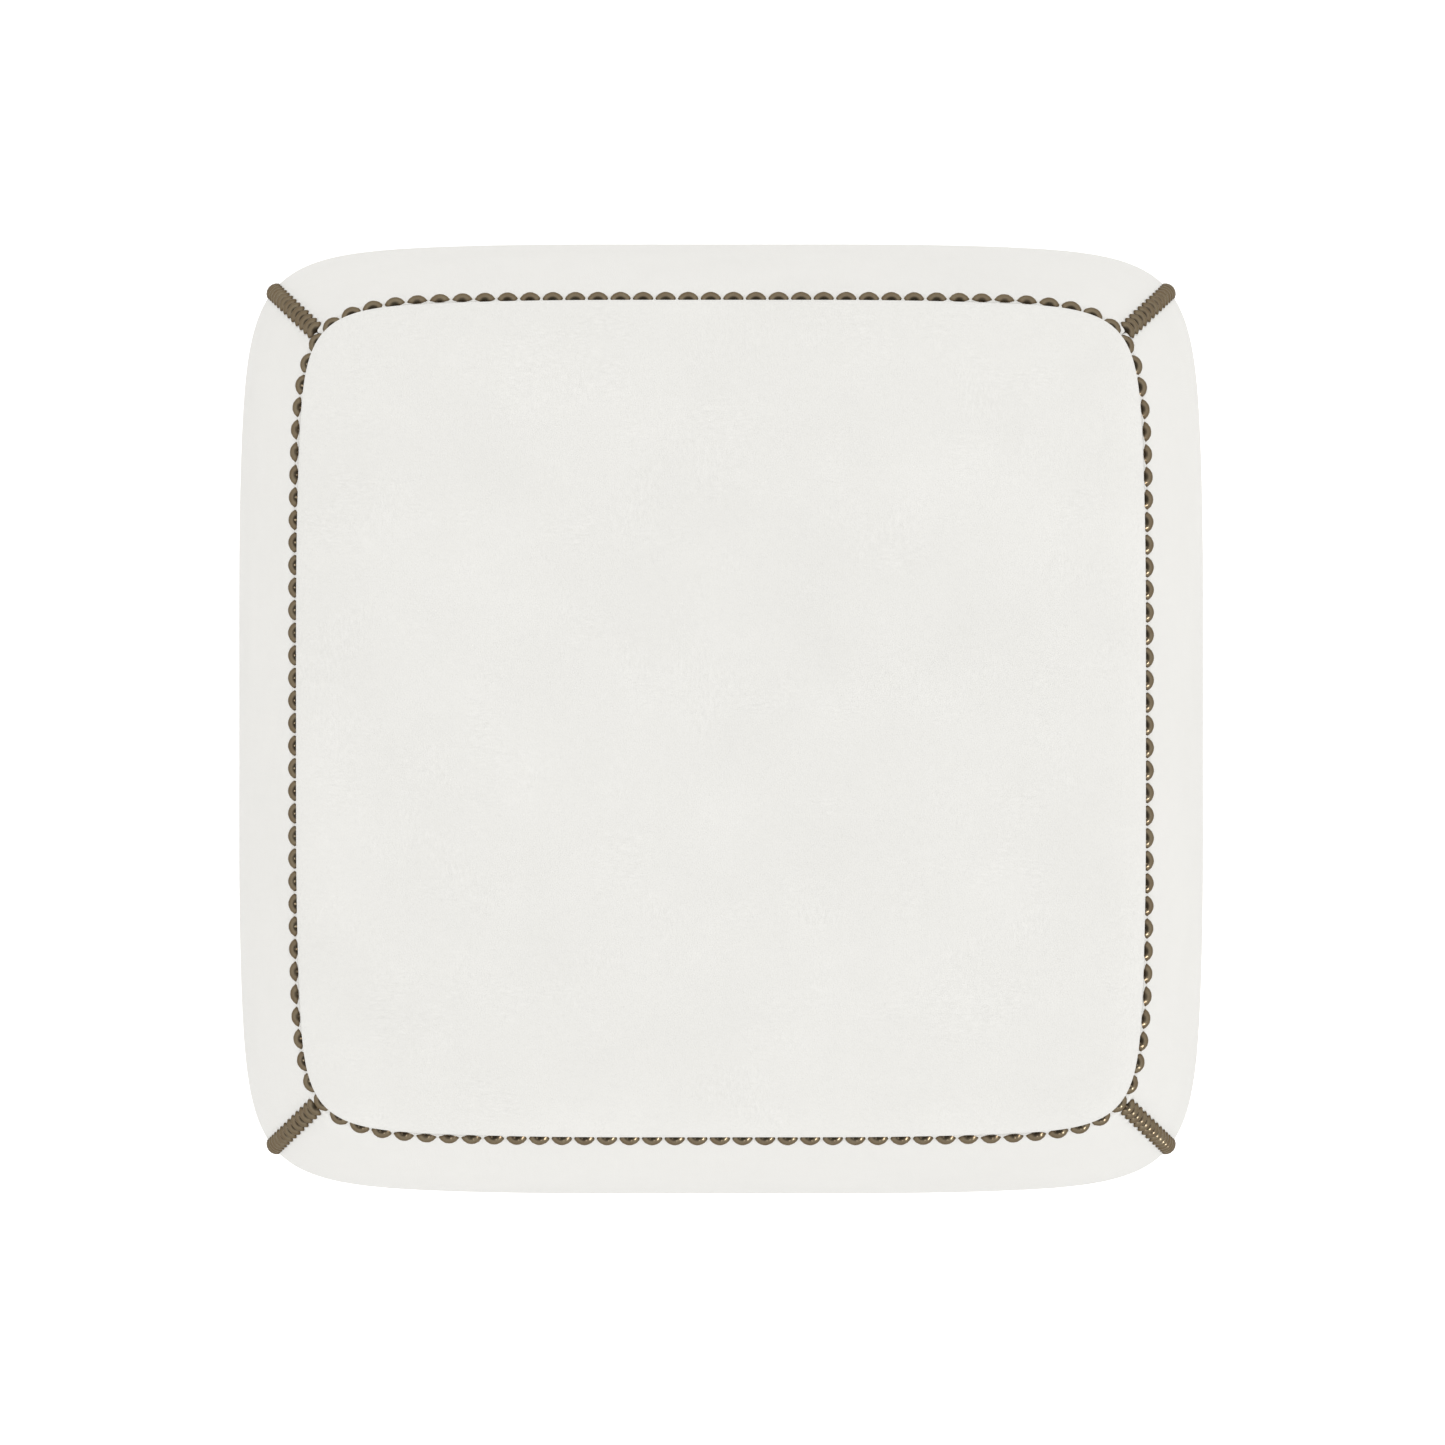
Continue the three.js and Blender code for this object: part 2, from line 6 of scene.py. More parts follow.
import bpy
import numpy as np
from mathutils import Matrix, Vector


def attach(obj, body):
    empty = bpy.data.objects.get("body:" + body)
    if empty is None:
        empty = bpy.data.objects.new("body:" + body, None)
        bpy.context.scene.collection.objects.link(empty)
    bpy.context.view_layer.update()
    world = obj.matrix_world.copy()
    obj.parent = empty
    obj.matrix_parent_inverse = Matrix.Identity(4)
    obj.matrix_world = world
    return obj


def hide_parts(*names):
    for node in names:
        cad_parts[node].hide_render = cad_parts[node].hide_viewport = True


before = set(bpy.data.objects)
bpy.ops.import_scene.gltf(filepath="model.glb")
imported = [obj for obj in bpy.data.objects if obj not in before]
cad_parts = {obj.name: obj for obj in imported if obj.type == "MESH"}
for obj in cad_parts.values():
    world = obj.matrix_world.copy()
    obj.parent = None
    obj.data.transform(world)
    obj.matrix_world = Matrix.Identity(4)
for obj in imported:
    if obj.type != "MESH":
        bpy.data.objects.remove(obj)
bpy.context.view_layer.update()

MM = 0.001
DEGREE = np.pi / 180
TURN = 2 * np.pi

# Small steps, round and up, that slopes are measured over
SWING = 0.1 * DEGREE
STEP = 0.2

# Overall form of the side leather
CROWN_HEIGHT = 457.0
ROW_HEIGHT = 427.0
WIDEST_HEIGHT = 212.0
ROW_HALF = np.array([228.4, 225.1])
BULGE = np.array([52.2, 51.1])
FLATTEN = 0.354
ROW_EXPONENT = 11.3
WIDEST_EXPONENT = 9.1
ROW_DRAW = 0.0131
WIDEST_DRAW = 0.0116
DRAW_EXPONENT = 6.4
SEAM_SHIFT = 0.88 * DEGREE
SEAM_ANGLE = np.arctan2(ROW_HALF[1], ROW_HALF[0]) - SEAM_SHIFT
NAIL_LINE_HALF = ROW_HALF - 1.0
NAIL_LINE_EXPONENT = 9.1
NAIL_LINE_DRAW = 0.0023
SHOULDER_HEIGHT = 424.0
CREASE_HEIGHT = 431.2
COVER_BASE = 7.6
COVER_RETURN = 25.0
ROUND_EXPONENT = 2.2

# Top panel
PANEL_HALF = ROW_HALF - 2.6
PANEL_EXPONENT = 11.3
PANEL_DRAW = 0.0116
PANEL_EDGE_HEIGHT = 434.5
PANEL_TUCK = 2.9
ROLL_WIDTH = 25.0
ROLL_RISE = 14.5
ROLL_TOP = PANEL_EDGE_HEIGHT + ROLL_RISE
SKIRT_BASE = 411.6

# Layers, from the outer leather inwards, and the passes that find a point on one
LAYER_PASSES = 12
LAYER_STEP = 0.8
CLEARANCE = 0.3
LEATHER = 1.6
SKIRT_DEPTH = 2.2
FOAM_DEPTH = 1.9
SIDE_FOAM = 12.0
SPAN_BASE = 27.8
SPAN_TOP = 411.3

# Nails
NAIL_PITCH = 12.0
NAIL_WIDTH = 11.0
NAIL_RISE = 3.2
FIRST_NAIL_SHIFT = -3.6
CORNER_NAIL_START = 12.4
CORNER_NAIL_END = 8.0

# Underside and webbing
DUST_CLOTH_BASE = 6.3
DUST_CLOTH_INSET = 8.0
DUST_CLOTH_LIFT = 0.55
DUST_CLOTH_THICKNESS = 0.4
DUST_CLOTH_SAG = 0.12
DUST_CLOTH_HEM = 0.25
GLIDE_RADIUS = 20.0
GLIDE_HEIGHT = 6.0
GLIDE_RECESS = 2.6
GLIDE_SIDES = 64
GLIDE_PLACE = ROW_HALF - 40.4
RING_INNER = (ROW_HALF[0] - 58.4) * np.array([1.0, np.tan(SEAM_ANGLE)])
STRAP_WIDTH = 50.0
STRAP_THICKNESS = 1.5
STRAP_SEAT = 35.0
STRAP_COUNT = 4
STRAP_HEIGHT = 431.55
STRAP_REST = 4.0
STRAP_STEPS = 181

SIDES = {
    "right": (0.0, SEAM_ANGLE),
    "back": (TURN / 4, TURN / 4 - SEAM_ANGLE),
    "left": (TURN / 2, SEAM_ANGLE),
    "front": (3 * TURN / 4, TURN / 4 - SEAM_ANGLE),
}
CORNERS = {
    "back_right": (SEAM_ANGLE, 1, 1),
    "back_left": (TURN / 2 - SEAM_ANGLE, -1, 1),
    "front_left": (TURN / 2 + SEAM_ANGLE, -1, -1),
    "front_right": (TURN - SEAM_ANGLE, 1, -1),
}


# ---- surfaces ----------------------------------------------------------------------------------


def plan_point(half_x, half_y, exponent, draw, angle):
    """Point in plan at a polar angle, on a superellipse, |x / half_x|^exponent +
    |y / half_y|^exponent = 1, whose reach is drawn in towards the corners by up to a share."""
    cosine, sine = np.cos(angle), np.sin(angle)
    across, along = np.abs(cosine / half_x), np.abs(sine / half_y)
    reach = (across**exponent + along**exponent) ** (-1 / exponent)
    diagonal = 2 * across * along / (across**2 + along**2)
    reach = reach * (1 - draw * diagonal**DRAW_EXPONENT)
    return np.stack([cosine * reach, sine * reach], axis=-1)


def side_section(height):
    """Half sizes, exponent and draw of the side at a height: with the distance from the widest
    height as rise, 1 at the nail row, the swell is (1 - rise^2) (1 - FLATTEN rise^2)."""
    rise = (height - WIDEST_HEIGHT) / (ROW_HEIGHT - WIDEST_HEIGHT)
    swell = (1 - rise**2) * (1 - FLATTEN * rise**2)
    exponent = ROW_EXPONENT + (WIDEST_EXPONENT - ROW_EXPONENT) * swell
    draw = ROW_DRAW + (WIDEST_DRAW - ROW_DRAW) * swell
    return ROW_HALF[0] + BULGE[0] * swell, ROW_HALF[1] + BULGE[1] * swell, exponent, draw


def skin(angle, height, inset=0.0):
    """Outer leather of the sides: the section at the height, and above the shoulder a straight line
    in plan from the section there through the nail line. An inset draws both half sizes in."""
    angle, height, inset = np.broadcast_arrays(angle, height, inset)
    foot = np.minimum(height, SHOULDER_HEIGHT)
    half_x, half_y, exponent, draw = side_section(foot)
    lower = plan_point(half_x - inset, half_y - inset, exponent, draw, angle)
    line = plan_point(*NAIL_LINE_HALF, NAIL_LINE_EXPONENT, NAIL_LINE_DRAW, angle)
    share = np.maximum(height - SHOULDER_HEIGHT, 0) / (ROW_HEIGHT - SHOULDER_HEIGHT)
    plan = lower + (line - lower) * share[..., None]
    return np.concatenate([plan, height[..., None]], axis=-1)


def unit(vectors):
    """Vectors divided by their lengths."""
    return vectors / np.linalg.norm(vectors, axis=-1, keepdims=True)


def skin_normal(angle, height):
    """Outward normal of the side leather: the cross product of the ways round and up."""
    round_it = skin(angle + SWING, height) - skin(angle - SWING, height)
    up = skin(angle, height + STEP) - skin(angle, height - STEP)
    return unit(np.cross(round_it, up))


def layer(angle, level, depth):
    """Point at a level, a given depth below the outer leather along its normal, found in passes."""
    angle, level = np.broadcast_arrays(angle, level)
    height = level.astype(float)
    for _ in range(LAYER_PASSES):
        point = skin(angle, height) - skin_normal(angle, height) * depth
        height = height + (level - point[..., 2]) * LAYER_STEP
    return np.concatenate([point[..., :2], level[..., None]], axis=-1)


def grid_normals(grid):
    """Unit normals of a grid of points, from the differences along its rows and columns."""
    return unit(np.cross(np.gradient(grid, axis=1), np.gradient(grid, axis=0)))


def strip_faces(index, closed=False):
    """Quads between the rows of a table of point numbers; closed joins its last column to its
    first."""
    if closed:
        index = np.concatenate([index, index[:, :1]], axis=1)
    corners = [index[:-1, :-1], index[:-1, 1:], index[1:, 1:], index[1:, :-1]]
    return np.stack(corners, axis=-1).reshape(-1, 4)


def numbered(rows, columns, first=0):
    """Table of consecutive point numbers."""
    return first + np.arange(rows * columns).reshape(rows, columns)


def new_piece(name, points, faces, material, sharp=50.0):
    """Mesh object from points in millimetres and a list of faces, smooth but for sharp edges."""
    mesh = bpy.data.meshes.new(name)
    mesh.from_pydata((np.asarray(points).reshape(-1, 3) * MM).tolist(), [], faces)
    mesh.polygons.foreach_set("use_smooth", np.ones(len(mesh.polygons), bool))
    mesh.set_sharp_from_angle(angle=sharp * DEGREE)
    mesh.materials.append(material)
    mesh.validate()
    piece = bpy.data.objects.new(name, mesh)
    bpy.context.scene.collection.objects.link(piece)
    return piece


def thickened(piece, thickness):
    """Gives a sheet its thickness, inwards from the outer face."""
    wall = piece.modifiers.new("thickness", "SOLIDIFY")
    wall.thickness = thickness * MM
    wall.offset = -1
    wall.use_even_offset = True
    return piece


def settle(piece, slot, *nodes):
    """Rides a piece on the one body and hides the CAD nodes it stands for. The slot is not used."""
    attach(piece, "root")
    if nodes:
        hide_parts(*nodes)
    return piece


# ---- cloth -------------------------------------------------------------------------------------

CLOTH_FRAMES = 20
CLOTH_PRESSURE = 4


def pressed(points, faces, held, stiffness):
    """How far a leather sheet moves when the foam behind it presses outwards and its held points
    stay: a cloth simulation without gravity."""
    mesh = bpy.data.meshes.new("pressed")
    mesh.from_pydata((points * MM).tolist(), [], faces.tolist())
    sheet = bpy.data.objects.new("pressed", mesh)
    bpy.context.scene.collection.objects.link(sheet)
    sheet.vertex_groups.new(name="held").add(np.flatnonzero(held).tolist(), 1.0, "REPLACE")
    cloth = sheet.modifiers.new("cloth", "CLOTH")
    settings = cloth.settings
    settings.quality = 6
    settings.mass = 0.3
    settings.tension_stiffness = stiffness
    settings.compression_stiffness = stiffness
    settings.shear_stiffness = stiffness / 2
    settings.bending_stiffness = 1
    settings.air_damping = 5
    settings.vertex_group_mass = "held"
    settings.use_pressure = True
    settings.uniform_pressure_force = CLOTH_PRESSURE
    settings.effector_weights.gravity = 0
    cloth.point_cache.frame_start = 1
    cloth.point_cache.frame_end = CLOTH_FRAMES
    for number in range(1, CLOTH_FRAMES + 1):
        bpy.context.scene.frame_set(number)
    result = sheet.evaluated_get(bpy.context.evaluated_depsgraph_get())
    moved = np.empty(len(points) * 3, np.float32)
    result.data.vertices.foreach_get("co", moved)
    bpy.context.scene.frame_set(1)
    bpy.data.objects.remove(sheet)
    bpy.data.meshes.remove(mesh)
    return moved.reshape(-1, 3).astype(float) / MM - points


def filled_out(moved, slack, middle, most):
    """Displacement of a sheet that starts slightly small, by the slack, and is pressed back to its
    full size at the middle, where the simulated move is scaled to equal the slack. A hyperbolic
    tangent caps it, because the foam behind gives no more."""
    return most * np.tanh((moved * slack.max() / moved[middle] - slack) / most)


# ---- finishes ----------------------------------------------------------------------------------


class Finish:
    """A node material with its main shader and short ways of adding nodes."""

    def __init__(self, name):
        self.material = bpy.data.materials.new(name)
        self.material.use_nodes = True
        self.nodes = self.material.node_tree.nodes
        self.links = self.material.node_tree.links
        self.shader = self.nodes["Principled BSDF"]
        self.place = self.nodes.new("ShaderNodeTexCoord").outputs["Object"]

    def join(self, source, socket):
        """Link from an output to an input."""
        self.links.new(source, socket)

    def add(self, kind, inputs=(), **settings):
        """A node with its settings, and its inputs given as values or as other nodes' outputs."""
        made = self.nodes.new("ShaderNode" + kind)
        for name, value in settings.items():
            setattr(made, name, value)
        for key, value in dict(inputs).items():
            if isinstance(value, bpy.types.NodeSocket):
                self.join(value, made.inputs[key])
            else:
                made.inputs[key].default_value = value
        return made

    def maths(self, operation, *values):
        """One arithmetic step."""
        return self.add("Math", enumerate(values), operation=operation).outputs[0]

    def mapped(self, scale=(1, 1, 1), turn=(0, 0, 0), source=None):
        """Coordinates that are turned and scaled, the object's own if no others are given."""
        inputs = {"Vector": source or self.place, "Scale": scale, "Rotation": turn}
        return self.add("Mapping", inputs).outputs[0]

    def noise(self, scale, detail=2.0, roughness=0.5, source=None, distortion=0.0):
        """Soft noise, with its scale in features per metre."""
        inputs = {
            "Vector": source or self.place,
            "Scale": scale,
            "Detail": detail,
            "Roughness": roughness,
            "Distortion": distortion,
        }
        return self.add("TexNoise", inputs).outputs["Fac"]

    def cells(self, scale, feature="F1", source=None, randomness=1.0):
        """Distance from the middles or the edges of scattered cells."""
        inputs = {"Vector": source or self.place, "Scale": scale, "Randomness": randomness}
        return self.add("TexVoronoi", inputs, feature=feature).outputs["Distance"]

    def ranged(self, value, low, high, to_low=0.0, to_high=1.0):
        """Value carried smoothly from one range to another, and held at its ends."""
        inputs = {0: value, 1: low, 2: high, 3: to_low, 4: to_high}
        return self.add("MapRange", inputs, interpolation_type="SMOOTHSTEP").outputs[0]

    def colours(self, value, *stops):
        """Colour ramp through stops of (place, linear colour)."""
        ramp = self.add("ValToRGB", {0: value})
        elements = ramp.color_ramp.elements
        for index, (place, colour) in enumerate(stops):
            element = elements[index] if index < 2 else elements.new(place)
            element.position = place
            element.color = (*colour, 1)
        return ramp.outputs[0]

    def rough(self, value, low, high):
        """Roughness from low to high as a pattern rises."""
        self.join(self.ranged(value, 0.3, 0.7, low, high), self.shader.inputs["Roughness"])

    def bump(self, height, distance, strength=1.0, under=None):
        """Bump of a pattern, its distance in metres, over another bump if there is one."""
        inputs = {"Height": height, "Distance": distance, "Strength": strength}
        if under is not None:
            inputs["Normal"] = under
        return self.add("Bump", inputs).outputs[0]

    def colour(self, source):
        """Base colour."""
        self.join(source, self.shader.inputs["Base Color"])

    def normal(self, source):
        """Shading normal."""
        self.join(source, self.shader.inputs["Normal"])


def linear(red, green, blue):
    """Linear colour of an sRGB one with channels up to 255."""
    share = np.array([red, green, blue]) / 255
    return tuple(np.where(share <= 0.04045, share / 12.92, ((share + 0.055) / 1.055) ** 2.4))


def leather_finish(name, light, dark, crease_share):
    """Finished leather: faint clouds of colour, a pebble grain of small cells with fine gaps, and
    short creases one way or the other that gather in patches, with painted shade in their depths
    and painted light on their crests in the colour, as well as their bump."""
    finish = Finish(name)
    clouds = finish.noise(14, detail=4, roughness=0.6)
    patches = finish.noise(24, detail=2, roughness=0.5, distortion=0.8)
    wander = finish.add("TexNoise", {"Vector": finish.place, "Scale": 160, "Detail": 2})
    bent = finish.add(
        "VectorMath",
        {0: wander.outputs["Color"], 1: (0.0022, 0.0022, 0.0022), 2: finish.place},
        operation="MULTIPLY_ADD",
    ).outputs[0]
    pebbles = finish.ranged(finish.cells(900, "DISTANCE_TO_EDGE", bent), 0.0, 0.22)
    along = finish.noise(820, detail=1, source=finish.mapped((1.0, 0.3, 1.0), (0, 0, 0.2), bent))
    across = finish.noise(820, detail=1, source=finish.mapped((0.3, 1.0, 1.0), (0, 0, 0.3), bent))
    turned = finish.ranged(finish.noise(22), 0.4, 0.6)
    strokes = finish.add("Mix", {0: turned, 2: along, 3: across}).outputs[0]
    gathered = finish.ranged(patches, 0.45, 0.66, 0.0, crease_share)
    crease_relief_and_shade = finish.maths("MULTIPLY", finish.maths("SUBTRACT", strokes, 0.5), gathered)
    # The crease relief goes into the colour too: painted shade in the depths, painted light on the
    # crests.
    finish.colour(finish.colours(finish.maths("ADD", clouds, crease_relief_and_shade), (0.0, dark), (1.0, light)))
    height = finish.maths("MULTIPLY_ADD", crease_relief_and_shade, 0.5, finish.maths("MULTIPLY", pebbles, 0.35))
    swell = finish.noise(70, detail=2)
    first = finish.bump(swell, 0.0006, 0.25)
    finish.normal(finish.bump(height, 0.00022, 0.9, first))
    finish.rough(patches, 0.5, 0.62)
    finish.shader.inputs["IOR"].default_value = 1.45
    finish.shader.inputs["Sheen Weight"].default_value = 0.05
    return finish.material


def bronze_finish():
    """Antique bronze plating: olive brown metal, browner in soft spots, a little worn, and painted
    shade in dark brown round the rim, for the shade and dark reflections between neighbouring
    heads, by the attribute that holds how far a point has risen up the dome."""
    finish = Finish("nail_bronze")
    spots = finish.noise(160, detail=3, roughness=0.6)
    worn = finish.colours(spots, (0.3, linear(124, 109, 89)), (0.7, linear(136, 124, 103)))
    risen = finish.add("Attribute", attribute_name="risen").outputs["Fac"]
    out_of_rim_shade = finish.ranged(risen, 0.0, 0.4)
    # The dark brown rim is painted shade for the gaps between neighbouring heads.
    rim = (*linear(104, 89, 70), 1)
    finish.colour(finish.add("Mix", {0: out_of_rim_shade, 6: rim, 7: worn}, data_type="RGBA").outputs[2])
    finish.rough(spots, 0.16, 0.24)
    finish.normal(finish.bump(finish.noise(900, detail=3), 0.00004, 0.3))
    finish.shader.inputs["Metallic"].default_value = 1.0
    finish.shader.inputs["Specular Tint"].default_value = (0.55, 0.5, 0.44, 1)
    return finish.material


def timber_finish(name, turn, light, dark, rings=90.0):
    """Sawn timber: growth rings stretched along the grain, with fine pores."""
    finish = Finish(name)
    along = finish.mapped((1.0, 1.0, 0.05), turn)
    wave = finish.add(
        "TexWave",
        {"Vector": along, "Scale": rings, "Distortion": 4.0, "Detail": 3.0, "Detail Scale": 1.2},
        bands_direction="X",
    ).outputs["Fac"]
    pores = finish.noise(1400, detail=3, source=along)
    figure = finish.maths("MULTIPLY_ADD", pores, 0.35, wave)
    finish.colour(finish.colours(figure, (0.2, light), (1.1, dark)))
    finish.normal(finish.bump(pores, 0.00015, 0.5))
    finish.rough(pores, 0.6, 0.78)
    return finish.material


def foam_finish():
    """Upholstery foam: open cells, with a slight yellowing in clouds."""
    finish = Finish("foam")
    cells = finish.cells(900)
    clouds = finish.noise(20, detail=3)
    finish.colour(finish.colours(clouds, (0.3, (0.80, 0.72, 0.42)), (0.7, (0.84, 0.78, 0.52))))
    finish.normal(finish.bump(cells, 0.0004, 0.8))
    finish.rough(cells, 0.9, 1.0)
    return finish.material


def webbing_finish():
    """Woven jute strap on its own map, in metres along and across: a plain weave of warp and weft
    threads with a dark stripe near both edges."""
    finish = Finish("webbing")
    own = finish.add("UVMap", uv_map="strap").outputs[0]
    threads = {"Vector": own, "Scale": 110.0}
    warp = finish.add("TexWave", threads, bands_direction="Y")
    weft = finish.add("TexWave", threads, bands_direction="X")
    weave = finish.maths("MULTIPLY", warp.outputs["Fac"], weft.outputs["Fac"])
    across = finish.add("SeparateXYZ", {0: own}).outputs["Y"]
    edge = finish.maths("ABSOLUTE", finish.maths("SUBTRACT", across, STRAP_WIDTH / 2 * MM))
    stripe = finish.maths("COMPARE", edge, 0.017, 0.0018)
    plain = finish.colours(weave, (0.0, linear(104, 88, 58)), (0.8, linear(176, 154, 112)))
    dark = finish.add("Mix", {0: stripe, 6: plain, 7: (0.03, 0.028, 0.025, 1)}, data_type="RGBA")
    finish.colour(dark.outputs[2])
    finish.normal(finish.bump(weave, 0.0004, 0.8))
    finish.rough(weave, 0.85, 0.95)
    return finish.material


def dust_cloth_finish():
    """Black non-woven lining: pressed dots in a square pattern over tangled fibres."""
    finish = Finish("dust_cloth")
    dots = finish.cells(420, source=finish.mapped(), randomness=0.0)
    fibres = finish.noise(1300, detail=4, roughness=0.7)
    black, grey = (0.012, 0.012, 0.014), (0.035, 0.035, 0.038)
    finish.colour(finish.colours(fibres, (0.3, black), (0.75, grey)))
    height = finish.maths("MULTIPLY_ADD", fibres, 0.5, finish.ranged(dots, 0.2, 0.4))
    finish.normal(finish.bump(height, 0.0002, 0.7))
    finish.rough(fibres, 0.8, 0.95)
    return finish.material


def plastic_finish():
    """Moulded plastic with a fine spark-eroded grain."""
    finish = Finish("glide_plastic")
    grain = finish.noise(2600, detail=2)
    finish.colour(finish.colours(grain, (0.3, (0.022, 0.021, 0.02)), (0.7, (0.028, 0.027, 0.026))))
    finish.normal(finish.bump(grain, 0.00005, 0.6))
    finish.rough(grain, 0.42, 0.52)
    return finish.material


top_leather = leather_finish(
    "top_leather", linear(243.5, 242.2, 237.8), linear(234.5, 233.2, 228.8), crease_share=1.6
)
# Top and sides are one leather: the side copy is painted lighter, as painted light for the steeper
# sides, which get less light.
side_leather = leather_finish(
    "side_leather", linear(244.6, 243.2, 238.6), linear(238.6, 237.2, 232.6), crease_share=0.6
)
bronze = bronze_finish()
foam = foam_finish()
webbing = webbing_finish()
dust_cloth = dust_cloth_finish()
plastic = plastic_finish()
PINE = linear(216, 182, 132), linear(186, 140, 88)
timber_upright = timber_finish("timber_upright", (0, 0, 0), *PINE)
timber_across = timber_finish("timber_across", (0, TURN / 4, 0), *PINE)
timber_along = timber_finish("timber_along", (TURN / 4, 0, 0), *PINE)
board = timber_finish("board", (0, 0, 0), linear(190, 156, 108), linear(164, 128, 84), rings=30.0)


# ---- top panel ---------------------------------------------------------------------------------

PATCH_CELLS = 96


def crown_patch(depth=0.0, half=PANEL_HALF - ROLL_WIDTH, top=CROWN_HEIGHT, low=ROLL_TOP):
    """Square table of points over the crown. A point's share is the larger of its two square
    coordinates; the points of one share lie on a plan outline whose exponent and draw grow with the
    share, and the crown falls as the square of the share."""
    steps = np.linspace(-1, 1, PATCH_CELLS + 1)
    across, along = np.meshgrid(steps, steps)
    share = np.maximum(np.abs(across), np.abs(along))
    safe = np.where(share == 0, 1.0, share)
    exponent = np.maximum(PANEL_EXPONENT * share, ROUND_EXPONENT)
    spread = np.abs(across / safe) ** exponent + np.abs(along / safe) ** exponent
    reach = np.where(share == 0, 1.0, np.where(spread == 0, 1.0, spread) ** (-1 / exponent))
    diagonal = 2 * np.abs(across * along) / np.where(share == 0, 1.0, across**2 + along**2)
    reach = reach * (1 - PANEL_DRAW * share * diagonal**DRAW_EXPONENT)
    height = low + (top - low) * (1 - share**2) - depth
    return np.stack([across * reach * half[0], along * reach * half[1], height], axis=-1)


def rim_numbers():
    """Point numbers round the border of the square table, counterclockwise."""
    index = numbered(PATCH_CELLS + 1, PATCH_CELLS + 1)
    return np.concatenate([index[0, :-1], index[:-1, -1], index[-1, :0:-1], index[:0:-1, 0]])


def edge_ring(angle, turn, depth=0.0):
    """Rolled edge of the panel: a quarter ellipse from the crown out to the edge, and a small
    quarter circle back under it. The turn is 90 degrees at the crown and 0 at the edge."""
    width = ROLL_WIDTH if turn > 0 else PANEL_TUCK
    rise = ROLL_RISE if turn > 0 else PANEL_TUCK
    inset = width - (width - depth) * np.cos(turn)
    plan = plan_point(*(PANEL_HALF - inset), PANEL_EXPONENT, PANEL_DRAW, angle)
    height = np.full(angle.shape, PANEL_EDGE_HEIGHT + (rise - depth) * np.sin(turn))
    return np.concatenate([plan, height[:, None]], axis=-1)


def panel_sheet(rings, depth=0.0):
    """Points and faces of the crown with rings round its border, from the crown outwards."""
    patch = crown_patch(depth)
    points = np.concatenate([patch.reshape(-1, 3), *rings])
    ring_table = numbered(len(rings), len(rings[0]), patch[..., 0].size)
    table = np.concatenate([rim_numbers()[None], ring_table])
    patch_faces = strip_faces(numbered(PATCH_CELLS + 1, PATCH_CELLS + 1))
    return points, np.concatenate([patch_faces, strip_faces(table[::-1], closed=True)])


rim = crown_patch()[..., :2].reshape(-1, 2)[rim_numbers()]
rim_angles = np.arctan2(rim[:, 1], rim[:, 0])
roll_turns = np.linspace(90, 0, 15)[1:] * DEGREE
tuck_turns = np.linspace(0, -90, 7)[1:] * DEGREE

# The leather starts a little low, and the foam presses it back up to its full height
CROWN_SLACK = 3.0
CROWN_GIVE = 1.5
CROWN_STIFFNESS = 40
roll_rings = [edge_ring(rim_angles, turn) for turn in roll_turns]
sheet_points, sheet_faces = panel_sheet(roll_rings)
from_middle = np.linalg.norm(sheet_points[:, :2] / PANEL_HALF, axis=1)
crown_slack = CROWN_SLACK * (1 - np.minimum(from_middle, 1) ** 2)
edge_held = sheet_points[:, 2] < PANEL_EDGE_HEIGHT + 0.01
lowered = sheet_points - crown_slack[:, None] * [0, 0, 1]
risen = pressed(lowered, sheet_faces, edge_held, CROWN_STIFFNESS)[:, 2]
crown_swell = filled_out(risen, crown_slack, np.argmin(from_middle), CROWN_GIVE)


def top_cover():
    """Leather of the top panel: crown, rolled edge, tuck, and the skirt inside the side leather."""
    skirt_levels = [431.3, 430.6, 429, 427, 424.5, 421, 416.5, SKIRT_BASE]
    rings = [
        *roll_rings,
        *[edge_ring(rim_angles, turn) for turn in tuck_turns],
        *[layer(rim_angles, level, SKIRT_DEPTH) for level in skirt_levels],
    ]
    points, faces = panel_sheet(rings)
    points[: len(sheet_points), 2] += crown_swell
    piece = thickened(new_piece("top_panel_leather", points, faces.tolist(), top_leather), LEATHER)
    settle(piece, "leather", "top_cover")


def top_foam():
    """Foam block under the top panel, its crown and rolled edge parallel to the leather."""
    rings = [edge_ring(rim_angles, turn, FOAM_DEPTH) for turn in (*roll_turns, *tuck_turns)]
    points, faces = panel_sheet(rings, FOAM_DEPTH)
    points[: len(sheet_points), 2] += crown_swell
    under = crown_patch(half=PANEL_HALF - PANEL_TUCK, top=rings[-1][0, 2], low=rings[-1][0, 2])
    first = len(points)
    under_faces = strip_faces(numbered(PATCH_CELLS + 1, PATCH_CELLS + 1, first))[:, ::-1]
    last_ring = first - len(rim_angles) + np.arange(len(rim_angles))
    closing = strip_faces(np.stack([first + rim_numbers(), last_ring]), closed=True)
    points = np.concatenate([points, under.reshape(-1, 3)])
    faces = np.concatenate([faces, under_faces, closing])
    piece = new_piece("top_panel_foam", points, faces.tolist(), foam)
    settle(piece, "foam", "top_foam")


top_cover()
top_foam()


# ---- sides -------------------------------------------------------------------------------------

SEAM_ROLL = 1.8
SEAM_TURN_IN = 4.0
SEAM_OFFSETS = np.array([0.12, 0.2, 0.4, 0.7, 1.1, 1.6, 2.3, 3.2])
PAD_OFFSETS = np.array([4.0, 6.0])
COLUMN_GAP = 1.2
SIDE_STEPS = 208
SIDE_ROWS = 188
PAD_STEPS = 60
PAD_ROWS = 49
RETURN_ROWS = 6
BASE_FOLD = 3.0
SIDE_SLACK = 1.5
SIDE_GIVE = 0.8
SIDE_STIFFNESS = 5
FIELD_SHAPE = (53, 57)
PULL_DEPTH = 0.3
PULL_REACH = 9


def seam_reach(height):
    """Distance of the corner seam from the axis at a height."""
    return np.linalg.norm(skin(SEAM_ANGLE, height)[..., :2], axis=-1)


